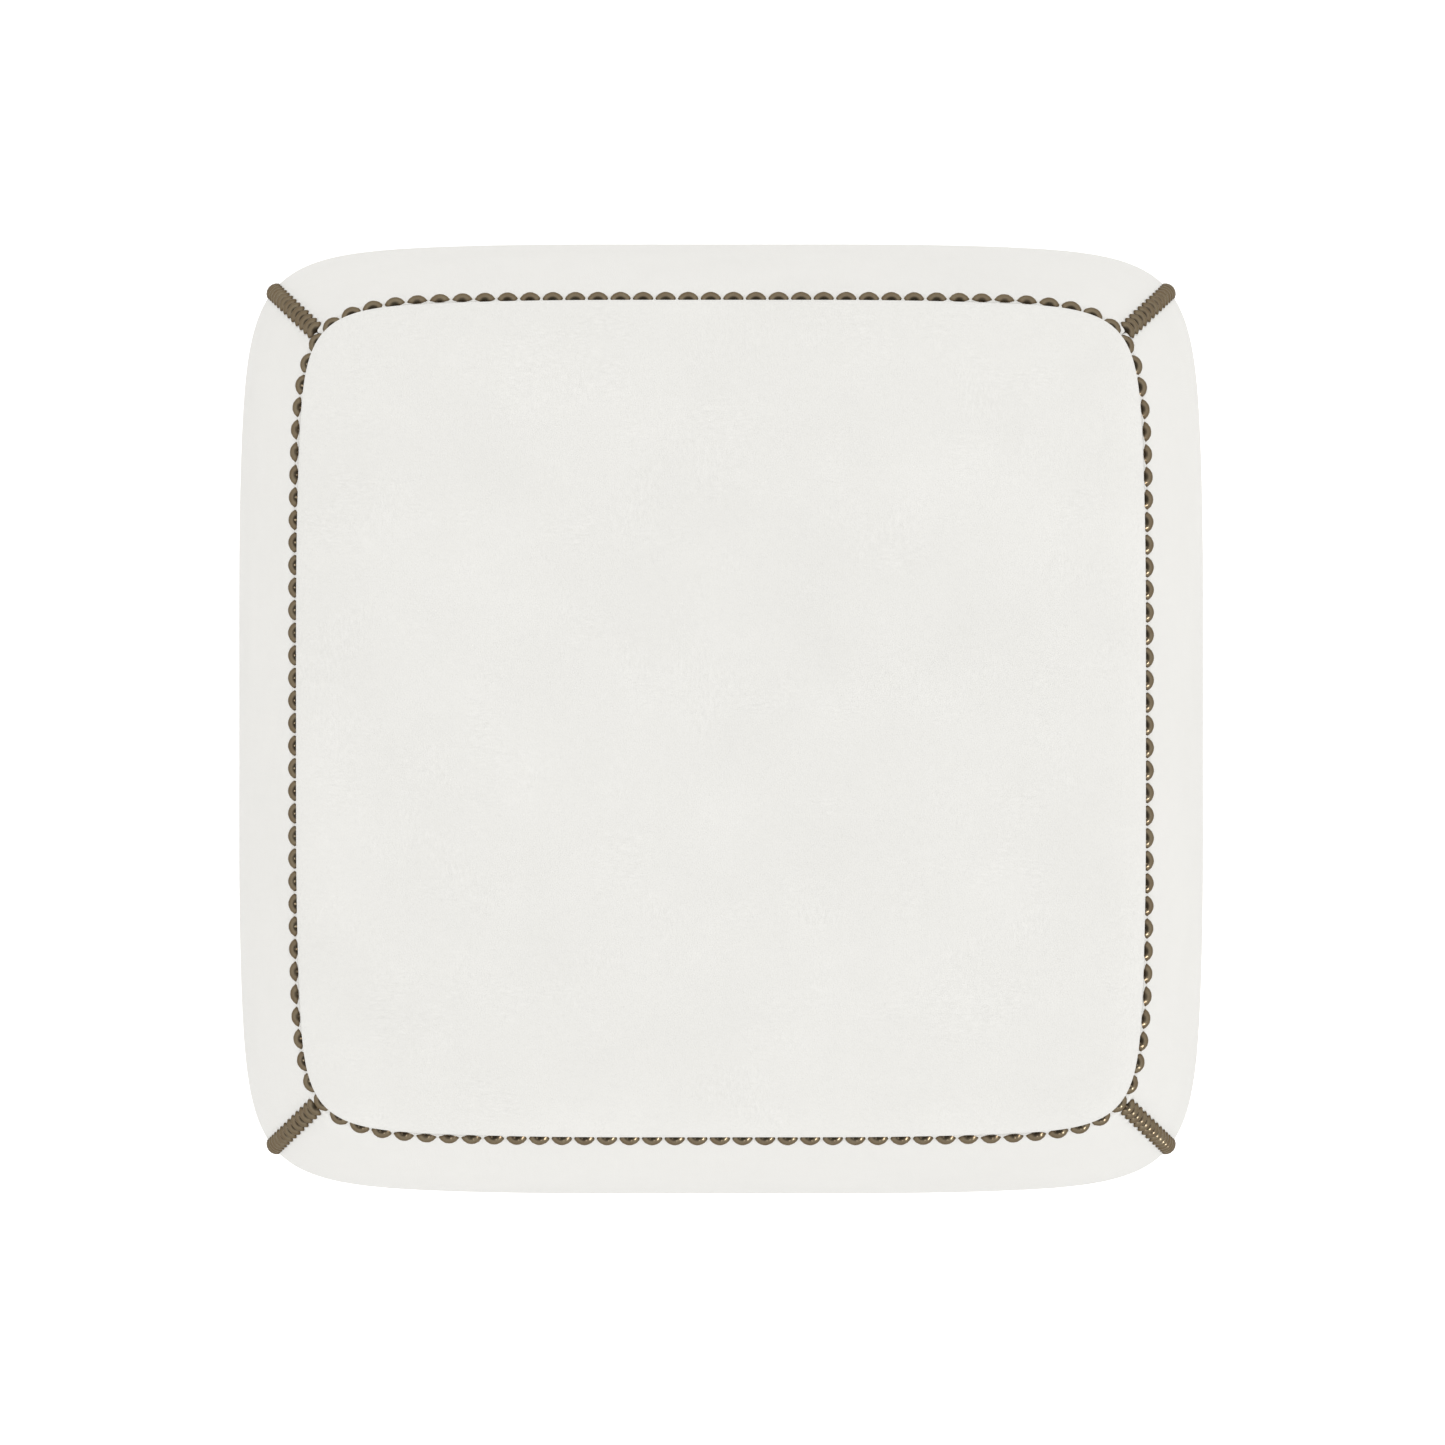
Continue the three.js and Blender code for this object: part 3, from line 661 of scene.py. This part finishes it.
def side_angles(middle, reach, height, offsets, steps):
    """Angles of a side's columns, and their distances from the nearer seam: first the columns by
    their distance from the seam, then even steps along the side, then the seam columns again."""
    radius = seam_reach(height)[:, None]
    inner = reach - (offsets[-1] + COLUMN_GAP) / radius
    across = np.arctan(np.tan(inner) * np.linspace(-1, 1, steps + 1))
    near = reach - offsets / radius
    turns = np.concatenate([-near, across, near[:, ::-1]], axis=1)
    return middle + turns, (reach - np.abs(turns)) * radius


def side_rows():
    """Heights and insets of the rows: the return under the base, the fold, and the side."""
    fold = np.linspace(0, 90, 7)[1:] * DEGREE
    fold_heights = COVER_BASE + BASE_FOLD * (1 - np.cos(fold))
    fold_insets = BASE_FOLD * (1 - np.sin(fold))
    upper = np.linspace(fold_heights[-1], SHOULDER_HEIGHT, SIDE_ROWS)[1:]
    top = np.array([424.8, 425.8, 427, 428.2, 429.4, 430.4, CREASE_HEIGHT])
    return_insets = np.linspace(COVER_RETURN, BASE_FOLD, RETURN_ROWS)
    heights = np.concatenate([[COVER_BASE] * RETURN_ROWS, fold_heights, upper, top])
    insets = np.concatenate([return_insets, fold_insets, np.zeros(len(upper) + len(top))])
    return heights, insets


def walked(path, count=6000):
    """Shares of a path from 0 to 1, and the distance travelled along it to each."""
    shares = np.linspace(0, 1, count + 1)
    steps = np.linalg.norm(np.diff(path(shares), axis=0), axis=1)
    return shares, np.concatenate([[0], np.cumsum(steps)])


row_shares, row_distances = walked(lambda share: skin(share * TURN, ROW_HEIGHT))
row_total = row_distances[-1]
row_count = int(row_total / NAIL_PITCH)
row_places = (FIRST_NAIL_SHIFT + np.arange(row_count) * row_total / row_count) % row_total
row_angles = np.interp(row_places, row_distances, row_shares) * TURN

corner_shares, corner_distances = walked(
    lambda share: skin(SEAM_ANGLE, ROW_HEIGHT + (COVER_BASE - ROW_HEIGHT) * share)
)
corner_places = np.arange(CORNER_NAIL_START, corner_distances[-1] - CORNER_NAIL_END, NAIL_PITCH)
corner_heights = ROW_HEIGHT + (COVER_BASE - ROW_HEIGHT) * np.interp(
    corner_places, corner_distances, corner_shares
)


def nail_pull(angles, heights, from_seam):
    """How far the nails draw the leather in: a wave with a crest under each nail, fading with the
    distance from the nail line."""
    travelled = np.interp(np.mod(angles / TURN, 1), row_shares, row_distances)
    along_row = 0.5 + 0.5 * np.cos(TURN * (travelled - FIRST_NAIL_SHIFT) / (row_total / row_count))
    near_row = np.exp(-(((heights - ROW_HEIGHT) / PULL_REACH) ** 2))
    down = (ROW_HEIGHT - heights) / (ROW_HEIGHT - COVER_BASE)
    fallen = np.interp(down, corner_shares, corner_distances)
    along_seam = 0.5 + 0.5 * np.cos(TURN * (fallen - CORNER_NAIL_START) / NAIL_PITCH)
    near_seam = np.exp(-((from_seam / PULL_REACH) ** 2))
    return PULL_DEPTH * np.maximum(along_row * near_row, along_seam * near_seam)


def side_swell(middle, reach):
    """Field of how far the foam presses a side panel out, on a coarse table of even steps from
    seam to seam and from base to shoulder. The sheet starts a little inside, and its simulated
    move is scaled so that no point goes further than the foam gives."""
    rises, steps = (np.linspace(-1, 1, count) for count in FIELD_SHAPE)
    low, high = COVER_BASE + BASE_FOLD, SHOULDER_HEIGHT
    heights = (high + low) / 2 + rises * (high - low) / 2
    slack = SIDE_SLACK * (1 - steps[None] ** 8) * (1 - rises[:, None] ** 8)
    angles = middle + np.arctan(np.tan(reach) * steps)
    grid = skin(angles[None], heights[:, None])
    normals = grid_normals(grid)
    held = slack == 0
    start = grid - normals * slack[..., None]
    faces = strip_faces(numbered(*slack.shape))
    moved = pressed(start.reshape(-1, 3), faces, held.ravel(), SIDE_STIFFNESS)
    outward = (moved.reshape(grid.shape) * normals).sum(axis=-1)
    return steps, heights, SIDE_GIVE * outward / np.abs(outward).max()


def read_field(steps, heights, field, step, height):
    """Value of a field between its rows and columns, weighed by the distances from the nearest
    four."""
    column = np.interp(step, steps, np.arange(len(steps)))
    row = np.interp(height, heights, np.arange(len(heights)))
    left = np.minimum(column.astype(int), len(steps) - 2)
    low = np.minimum(row.astype(int), len(heights) - 2)
    across, up = column - left, row - low
    lower = field[low, left] * (1 - across) + field[low, left + 1] * across
    upper = field[low + 1, left] * (1 - across) + field[low + 1, left + 1] * across
    return lower * (1 - up) + upper * up


def side_piece(name, middle, reach, field):
    """Leather of one side, from its return under the base to the crease, with both seam edges
    turned in."""
    heights, insets = side_rows()
    angles, from_seam = side_angles(middle, reach, heights, SEAM_OFFSETS, SIDE_STEPS)
    grid = skin(angles, heights[:, None], insets[:, None])
    steps = np.tan(angles - middle) / np.tan(reach)
    swell = read_field(*field, steps, heights[:, None])
    within = SEAM_ROLL - np.minimum(from_seam, SEAM_ROLL)
    roll = SEAM_ROLL - np.sqrt(SEAM_ROLL**2 - within**2)
    roll[:, [0, -1]] = SEAM_TURN_IN
    normals = grid_normals(grid)
    pull = nail_pull(angles, heights[:, None], from_seam)
    grid = grid + normals * (swell - roll - pull)[..., None]
    faces = strip_faces(numbered(*grid.shape[:2]))
    piece = new_piece(f"side_leather_{name}", grid, faces.tolist(), side_leather)
    settle(thickened(piece, LEATHER), "leather", f"side_cover_{name}")


def side_pad(name, middle, reach, field):
    """Foam of one side: a closed slab between two depths below the leather, whose outer face moves
    with the leather."""
    levels = np.linspace(SPAN_BASE, SPAN_TOP, PAD_ROWS)
    angles, _ = side_angles(middle, reach, levels, PAD_OFFSETS, PAD_STEPS)
    outer = layer(angles, levels[:, None], FOAM_DEPTH)
    swell = read_field(*field, np.tan(angles - middle) / np.tan(reach), levels[:, None])
    outer = outer + skin_normal(angles, levels[:, None]) * swell[..., None]
    inner = layer(angles, levels[:, None], FOAM_DEPTH + SIDE_FOAM)
    size = outer.shape[:2]
    front, back = numbered(*size), numbered(*size, outer[..., 0].size)
    faces = [strip_faces(front), strip_faces(back)[:, ::-1]]
    faces.append(strip_faces(np.stack([back[0], front[0]])))
    faces.append(strip_faces(np.stack([front[-1], back[-1]])))
    faces.append(strip_faces(np.stack([front[:, 0], back[:, 0]])))
    faces.append(strip_faces(np.stack([back[:, -1], front[:, -1]])))
    points = np.concatenate([outer.reshape(-1, 3), inner.reshape(-1, 3)])
    piece = new_piece(f"side_pad_{name}", points, np.concatenate(faces).tolist(), foam)
    settle(piece, "foam", f"side_foam_{name}")


for side_name, (side_middle, side_reach) in SIDES.items():
    side_field = side_swell(side_middle, side_reach)
    side_piece(side_name, side_middle, side_reach, side_field)
    side_pad(side_name, side_middle, side_reach, side_field)


# ---- nails -------------------------------------------------------------------------------------

NAIL_SIDES = 14
UNDERSIDE_SHARE = 0.94
UNDERSIDE_DROP = 0.35
BAND_WIDTH = 8.4
BAND_LIFTS = np.array([-0.5, -0.5, 0.15, 0.15])
BAND_STEPS = 120
SPHERE = ((NAIL_WIDTH / 2) ** 2 + NAIL_RISE**2) / (2 * NAIL_RISE)


def nail_pattern():
    """One domed head at its own origin: rings of a sphere's cap from the rim up to the middle, and
    a flat underside a little below the rim. Faces are quads, with triangles round the middle."""
    shares = np.array([1.0, 0.76, 0.42])
    radii = np.concatenate([[UNDERSIDE_SHARE], shares]) * NAIL_WIDTH / 2
    domed = np.sqrt(SPHERE**2 - (shares * NAIL_WIDTH / 2) ** 2) - SPHERE + NAIL_RISE
    heights = np.concatenate([[-UNDERSIDE_DROP], domed])
    turns = np.arange(NAIL_SIDES) * TURN / NAIL_SIDES
    ring = np.stack([np.cos(turns), np.sin(turns)], axis=-1)
    levels = np.broadcast_to(heights[:, None, None], (len(heights), NAIL_SIDES, 1))
    rings = np.concatenate([ring[None] * radii[:, None, None], levels], axis=-1)
    points = np.concatenate([rings.reshape(-1, 3), [[0, 0, NAIL_RISE]]])
    table = numbered(len(radii), NAIL_SIDES)
    faces = strip_faces(table, closed=True).tolist()
    last = table[-1]
    faces += [[*pair, len(points) - 1] for pair in zip(last.tolist(), np.roll(last, -1).tolist())]
    faces.append(table[0, ::-1].tolist())
    return points, faces


PATTERN_POINTS, PATTERN_FACES = nail_pattern()
PATTERN_RISEN = np.clip(PATTERN_POINTS[:, 2] / NAIL_RISE, 0, 1)


def band_under(angle, heights):
    """Thin band that joins the heads of a seam line: a box section along the seam. It takes the
    painted rim shade, so it darkens the gaps between the heads.
    """
    level = np.linspace(heights[0], heights[-1], BAND_STEPS)
    middle, outward = skin(angle, level), skin_normal(angle, level)
    along = unit(np.gradient(middle, axis=0))
    across = np.cross(outward, along)
    sides = np.array([-1, 1, 1, -1]) * BAND_WIDTH / 2
    points = middle[:, None] + across[:, None] * sides[:, None]
    points = points + outward[:, None] * BAND_LIFTS[:, None]
    table = numbered(len(level), 4)
    faces = strip_faces(table, closed=True).tolist()
    faces += [table[0, ::-1].tolist(), table[-1].tolist()]
    return points.reshape(-1, 3), faces


def nail_line(name, node, seats, outward, along, band=((), ())):
    """A line of nails: the pattern set on each seat, its middle outward and its side along the
    line, with the band under them if there is one."""
    across = np.cross(outward, along)
    axes = np.stack([along, across, outward], axis=1)
    points = seats[:, None] + np.einsum("pk,nkj->npj", PATTERN_POINTS, axes)
    size = len(PATTERN_POINTS)
    faces = [
        [corner + size * k for corner in face] for k in range(len(seats)) for face in PATTERN_FACES
    ]
    faces += [[corner + size * len(seats) for corner in face] for face in band[1]]
    points = np.concatenate([points.reshape(-1, 3), np.reshape(band[0], (-1, 3))])
    piece = new_piece(name, points, faces, bronze, sharp=45.0)
    risen = piece.data.attributes.new("risen", "FLOAT", "POINT")
    # The band's points keep 0, so the band takes the painted rim shade.
    levels = np.zeros(len(points), np.float32)
    levels[: size * len(seats)] = np.tile(PATTERN_RISEN, len(seats))
    risen.data.foreach_set("value", levels)
    settle(piece, "nail_bronze", node)


for side_name, (side_middle, side_reach) in SIDES.items():
    turned = np.mod(row_angles - side_middle + TURN / 2, TURN) - TURN / 2
    chosen = side_middle + np.sort(turned[np.abs(turned) < side_reach])
    ways = unit(skin(chosen + SWING, ROW_HEIGHT) - skin(chosen - SWING, ROW_HEIGHT))
    nail_line(
        f"row_nails_{side_name}",
        f"nail_row_{side_name}",
        skin(chosen, ROW_HEIGHT),
        skin_normal(chosen, ROW_HEIGHT),
        ways,
    )

for corner_name, (corner_angle, _, _) in CORNERS.items():
    above = skin(corner_angle, corner_heights + STEP)
    ways = unit(skin(corner_angle, corner_heights - STEP) - above)
    nail_line(
        f"seam_nails_{corner_name}",
        f"corner_nails_{corner_name}",
        skin(corner_angle, corner_heights),
        skin_normal(corner_angle, corner_heights),
        ways,
        band_under(corner_angle, corner_heights),
    )


# ---- underside ---------------------------------------------------------------------------------


def dust_sheet():
    """Lining cloth over the base: rings of a superellipse from the middle out, with a ripple of a
    few sines round them, and a hem that is folded in at the edge."""
    half_x, half_y, exponent, draw = side_section(np.array(COVER_BASE))
    angles = np.linspace(0, TURN, 241)[:-1]
    shares = np.array([0.02, 0.2, 0.4, 0.6, 0.75, 0.86, 0.93, 0.945, 0.955, 0.98, 1.0])
    counts = (9, 14, 23, 31)
    phases = np.random.default_rng(7).uniform(0, TURN, len(counts))
    middle_level = DUST_CLOTH_BASE + DUST_CLOTH_LIFT
    rings = []
    for share in shares:
        halves = (half_x - DUST_CLOTH_INSET) * share, (half_y - DUST_CLOTH_INSET) * share
        rounded = ROUND_EXPONENT + (exponent - ROUND_EXPONENT) * share
        plan = plan_point(*halves, rounded, draw * share, angles)
        ripple = sum(np.sin(count * angles + phase) for count, phase in zip(counts, phases))
        sag = DUST_CLOTH_SAG * ripple * share**2 * (1 - share) * 4
        level = middle_level + sag - (DUST_CLOTH_HEM if share > 0.95 else 0.0)
        rings.append(np.concatenate([plan, np.broadcast_to(level, angles.shape)[:, None]], axis=-1))
    points = np.concatenate([[[0, 0, middle_level]], *rings])
    table = numbered(len(rings), len(angles), 1)
    faces = strip_faces(table[::-1], closed=True)[:, ::-1].tolist()
    faces += [[0, *pair] for pair in zip(np.roll(table[0], -1).tolist(), table[0].tolist())]
    piece = thickened(new_piece("dust_lining", points, faces, dust_cloth), DUST_CLOTH_THICKNESS)
    settle(piece, "dust_cloth", "dust_cover")


def glide_disc(name, x, y):
    """Moulded glide: a turned profile with a rounded tread and a recess for its pin."""
    profile = np.array([
        [GLIDE_RADIUS - 0.6, GLIDE_HEIGHT],
        [GLIDE_RADIUS, GLIDE_HEIGHT - 0.6],
        [GLIDE_RADIUS, 1.9],
        [GLIDE_RADIUS - 0.4, 1.0],
        [GLIDE_RADIUS - 1.0, 0.35],
        [GLIDE_RADIUS - 1.8, 0.05],
        [GLIDE_RADIUS - 2.4, 0.0],
        [5.2, 0.0],
        [4.6, 0.3],
        [4.2, GLIDE_RECESS],
    ])
    turns = np.arange(GLIDE_SIDES) * TURN / GLIDE_SIDES
    ring = np.stack([np.cos(turns), np.sin(turns)], axis=-1)
    levels = np.broadcast_to(profile[:, 1, None, None], (len(profile), GLIDE_SIDES, 1))
    rings = np.concatenate([ring[None] * profile[:, 0, None, None], levels], axis=-1)
    ends = [[0, 0, GLIDE_HEIGHT]], [[0, 0, GLIDE_RECESS]]
    points = np.concatenate([ends[0], rings.reshape(-1, 3), ends[1]]) + [x, y, 0]
    table = numbered(len(rings), GLIDE_SIDES, 1)
    first, last = table[0], table[-1]
    faces = strip_faces(table, closed=True)[:, ::-1].tolist()
    faces += [[0, *pair] for pair in zip(first.tolist(), np.roll(first, -1).tolist())]
    faces += [[len(points) - 1, *pair] for pair in zip(np.roll(last, -1).tolist(), last.tolist())]
    piece = new_piece(f"glide_disc_{name}", points, faces, plastic, sharp=40.0)
    settle(piece, "glide_plastic", f"glide_{name}")


dust_sheet()
for corner_name, (_, x_way, y_way) in CORNERS.items():
    glide_disc(corner_name, x_way * GLIDE_PLACE[0], y_way * GLIDE_PLACE[1])


# ---- webbing -----------------------------------------------------------------------------------


def strap(name, inner, place, spacing, over_first, turned):
    """Woven strap: its middle line runs level over or under each crossing and slopes straight
    between them, and its section is a flat band with rounded edges."""
    reach = inner + STRAP_SEAT
    along = np.linspace(-reach, reach, STRAP_STEPS)
    ride = (STRAP_THICKNESS + CLEARANCE) / 2
    knots = [-reach, -inner - STRAP_REST]
    levels = [-ride, -ride]
    for index in range(STRAP_COUNT):
        middle = (index - (STRAP_COUNT - 1) / 2) * spacing
        level = ride if (index % 2 == 0) == over_first else -ride
        knots += [middle - STRAP_WIDTH / 2, middle + STRAP_WIDTH / 2]
        levels += [level, level]
    knots += [inner + STRAP_REST, reach]
    levels += [-ride, -ride]
    height = np.interp(along, knots, levels)
    across = np.array([0, 0.6, 1.2, 12, 25, 38, 48.8, 49.4, 50]) - STRAP_WIDTH / 2
    edge = np.array([0.35, 0.85, 1, 1, 1, 1, 1, 0.85, 0.35]) * STRAP_THICKNESS / 2
    loop_across = np.concatenate([across, across[::-1]])
    loop_height = np.concatenate([edge, -edge[::-1]])
    lifted = STRAP_HEIGHT + height[:, None] + loop_height[None]
    points = np.stack(np.broadcast_arrays(along[:, None], loop_across[None], lifted), axis=-1)
    table = numbered(*points.shape[:2])
    faces = strip_faces(table, closed=True)[:, ::-1].tolist()
    faces += [table[0].tolist(), table[-1, ::-1].tolist()]
    flat = points.reshape(-1, 3)
    piece = new_piece(name, place_strap(flat, place, turned), faces, webbing)
    layer_map = piece.data.uv_layers.new(name="strap")
    corners = np.empty(len(piece.data.loops), int)
    piece.data.loops.foreach_get("vertex_index", corners)
    own = (flat[corners][:, :2] + [reach, STRAP_WIDTH / 2]) * MM
    layer_map.data.foreach_set("uv", own.ravel())
    settle(piece, "webbing", name.replace("strap", "webbing"))


def place_strap(points, place, turned):
    """A strap's points moved sideways to its place, and turned a quarter if it runs along Y."""
    x, y, z = points[:, 0], points[:, 1], points[:, 2]
    if turned:
        return np.stack([place - y, x, z], axis=-1)
    return np.stack([x, place + y, z], axis=-1)


spacings = 2 * RING_INNER / STRAP_COUNT
for number in range(STRAP_COUNT):
    places = (number - (STRAP_COUNT - 1) / 2) * spacings
    even = number % 2 == 0
    strap(f"strap_x_{number + 1}", RING_INNER[0], places[1], spacings[0], even, False)
    strap(f"strap_y_{number + 1}", RING_INNER[1], places[0], spacings[1], not even, True)


# ---- timber frame ------------------------------------------------------------------------------


def refinish(node, material):
    """Gives a CAD node its finish."""
    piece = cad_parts[node]
    piece.data.materials.clear()
    piece.data.materials.append(material)


for side_name in SIDES:
    grain = timber_along if side_name in ("right", "left") else timber_across
    refinish(f"top_rail_{side_name}", grain)
    refinish(f"base_rail_{side_name}", grain)
    refinish(f"side_board_{side_name}", board)
    for hand in "ab":
        refinish(f"rib_{side_name}_{hand}", timber_upright)
for corner_name in CORNERS:
    refinish(f"corner_post_{corner_name}", timber_upright)
    refinish(f"glue_block_{corner_name}", timber_across)


# ---- studio ------------------------------------------------------------------------------------


FLOOR_REACH = 30
FLOOR_GLOW = 0.6
CAMERA_LENS = 99.65
CAMERA_PLACE = (0.0008, -0.0021, 2.56)
WORLD_LEVEL = 1.03
LIGHT_TILT = (0.06, -0.025, -0.03)
HORIZON_BOOST = 0.2
CEILING_LEVEL = 0.12
GLINT_WIDTH = 12.0
GLINTS = [
    ((0.27, -0.905, 0.33), 0.06),
    ((-0.33, -0.70, 0.64), 0.04),
    ((0.718, -0.687, 0.105), 0.4),
    ((-0.72, 0.0, 0.69), 0.12),
    ((0.573, -0.455, 0.682), 0.08),
]


def floor():
    """Pale floor. The camera sees it a little brighter than it is lit, so that it is white away
    from the footstool and keeps its shadow."""
    mesh = bpy.data.meshes.new("floor")
    ways = [(-1, -1), (1, -1), (1, 1), (-1, 1)]
    corners = [(x * FLOOR_REACH, y * FLOOR_REACH, 0) for x, y in ways]
    mesh.from_pydata(corners, [], [(0, 1, 2, 3)])
    plane = bpy.data.objects.new("floor", mesh)
    bpy.context.scene.collection.objects.link(plane)
    finish = Finish("floor")
    tree = finish.nodes
    tree.remove(finish.shader)
    diffuse = finish.add("BsdfDiffuse", {"Color": (0.88, 0.88, 0.88, 1)})
    glow = finish.add("Emission", {"Strength": FLOOR_GLOW})
    both = finish.add("AddShader", {0: diffuse.outputs[0], 1: glow.outputs[0]})
    path = finish.add("LightPath").outputs
    seen = finish.maths("MAXIMUM", path["Is Camera Ray"], path["Is Transmission Ray"])
    mixed = finish.add("MixShader", {0: seen, 1: diffuse.outputs[0], 2: both.outputs[0]})
    finish.join(mixed.outputs[0], tree["Material Output"].inputs["Surface"])
    mesh.materials.append(finish.material)


def glint(name, direction, strength):
    """Small far lamp that shows only as a highlight, in the direction given."""
    data = bpy.data.lights.new(name, "SUN")
    data.angle = GLINT_WIDTH * DEGREE
    data.energy = strength
    made = bpy.data.objects.new(name, data)
    made.rotation_mode = "QUATERNION"
    made.rotation_quaternion = Vector(direction).to_track_quat("Z", "Y")
    made.location = Vector(direction) * 3
    made.visible_diffuse = False
    bpy.context.scene.collection.objects.link(made)


def studio():
    """World, lamps and camera. The world is white to the camera. It lights evenly, a little more
    from the right and the front, and metal sees it white round the horizon under a dim ceiling."""
    world = bpy.data.worlds.new("studio")
    bpy.context.scene.world = world
    world.use_nodes = True
    nodes, links = world.node_tree.nodes, world.node_tree.links

    def made(kind, inputs, **settings):
        node = nodes.new("ShaderNode" + kind)
        for name, value in settings.items():
            setattr(node, name, value)
        for key, value in inputs.items():
            if isinstance(value, bpy.types.NodeSocket):
                links.new(value, node.inputs[key])
            else:
                node.inputs[key].default_value = value
        return node

    way = made("TexCoord", {}).outputs["Generated"]
    tilt = made("VectorMath", {0: way, 1: LIGHT_TILT}, operation="DOT_PRODUCT").outputs["Value"]
    up = made("SeparateXYZ", {0: way}).outputs["Z"]
    horizon = WORLD_LEVEL + HORIZON_BOOST
    low = made("MapRange", {0: up, 1: 0.0, 2: 0.4, 3: horizon, 4: WORLD_LEVEL}).outputs[0]
    even = made("Math", {0: tilt, 1: low}, operation="ADD").outputs[0]
    dimmed = {0: up, 1: 0.1, 2: 0.6, 3: 1.0, 4: CEILING_LEVEL}
    ceiling = made("MapRange", dimmed, interpolation_type="SMOOTHSTEP")
    path = made("LightPath", {}).outputs
    rays = {0: path["Is Camera Ray"], 1: path["Is Transmission Ray"]}
    seen = made("Math", rays, operation="MAXIMUM")
    lit = made("Mix", {0: path["Is Glossy Ray"], 2: even, 3: ceiling.outputs[0]})
    level = made("Mix", {0: seen.outputs[0], 2: lit.outputs[0], 3: 1.0})
    links.new(level.outputs[0], nodes["Background"].inputs["Strength"])
    nodes["Background"].inputs["Color"].default_value = (1, 1, 1, 1)
    for number, (direction, strength) in enumerate(GLINTS):
        glint(f"glint_{number + 1}", direction, strength)
    camera_data = bpy.data.cameras.new("camera")
    camera_data.sensor_width = 36.0
    camera_data.lens = CAMERA_LENS
    camera = bpy.data.objects.new("camera", camera_data)
    camera.location = CAMERA_PLACE
    bpy.context.scene.collection.objects.link(camera)
    bpy.context.scene.camera = camera
    bpy.context.scene.view_settings.view_transform = "Standard"


floor()
studio()
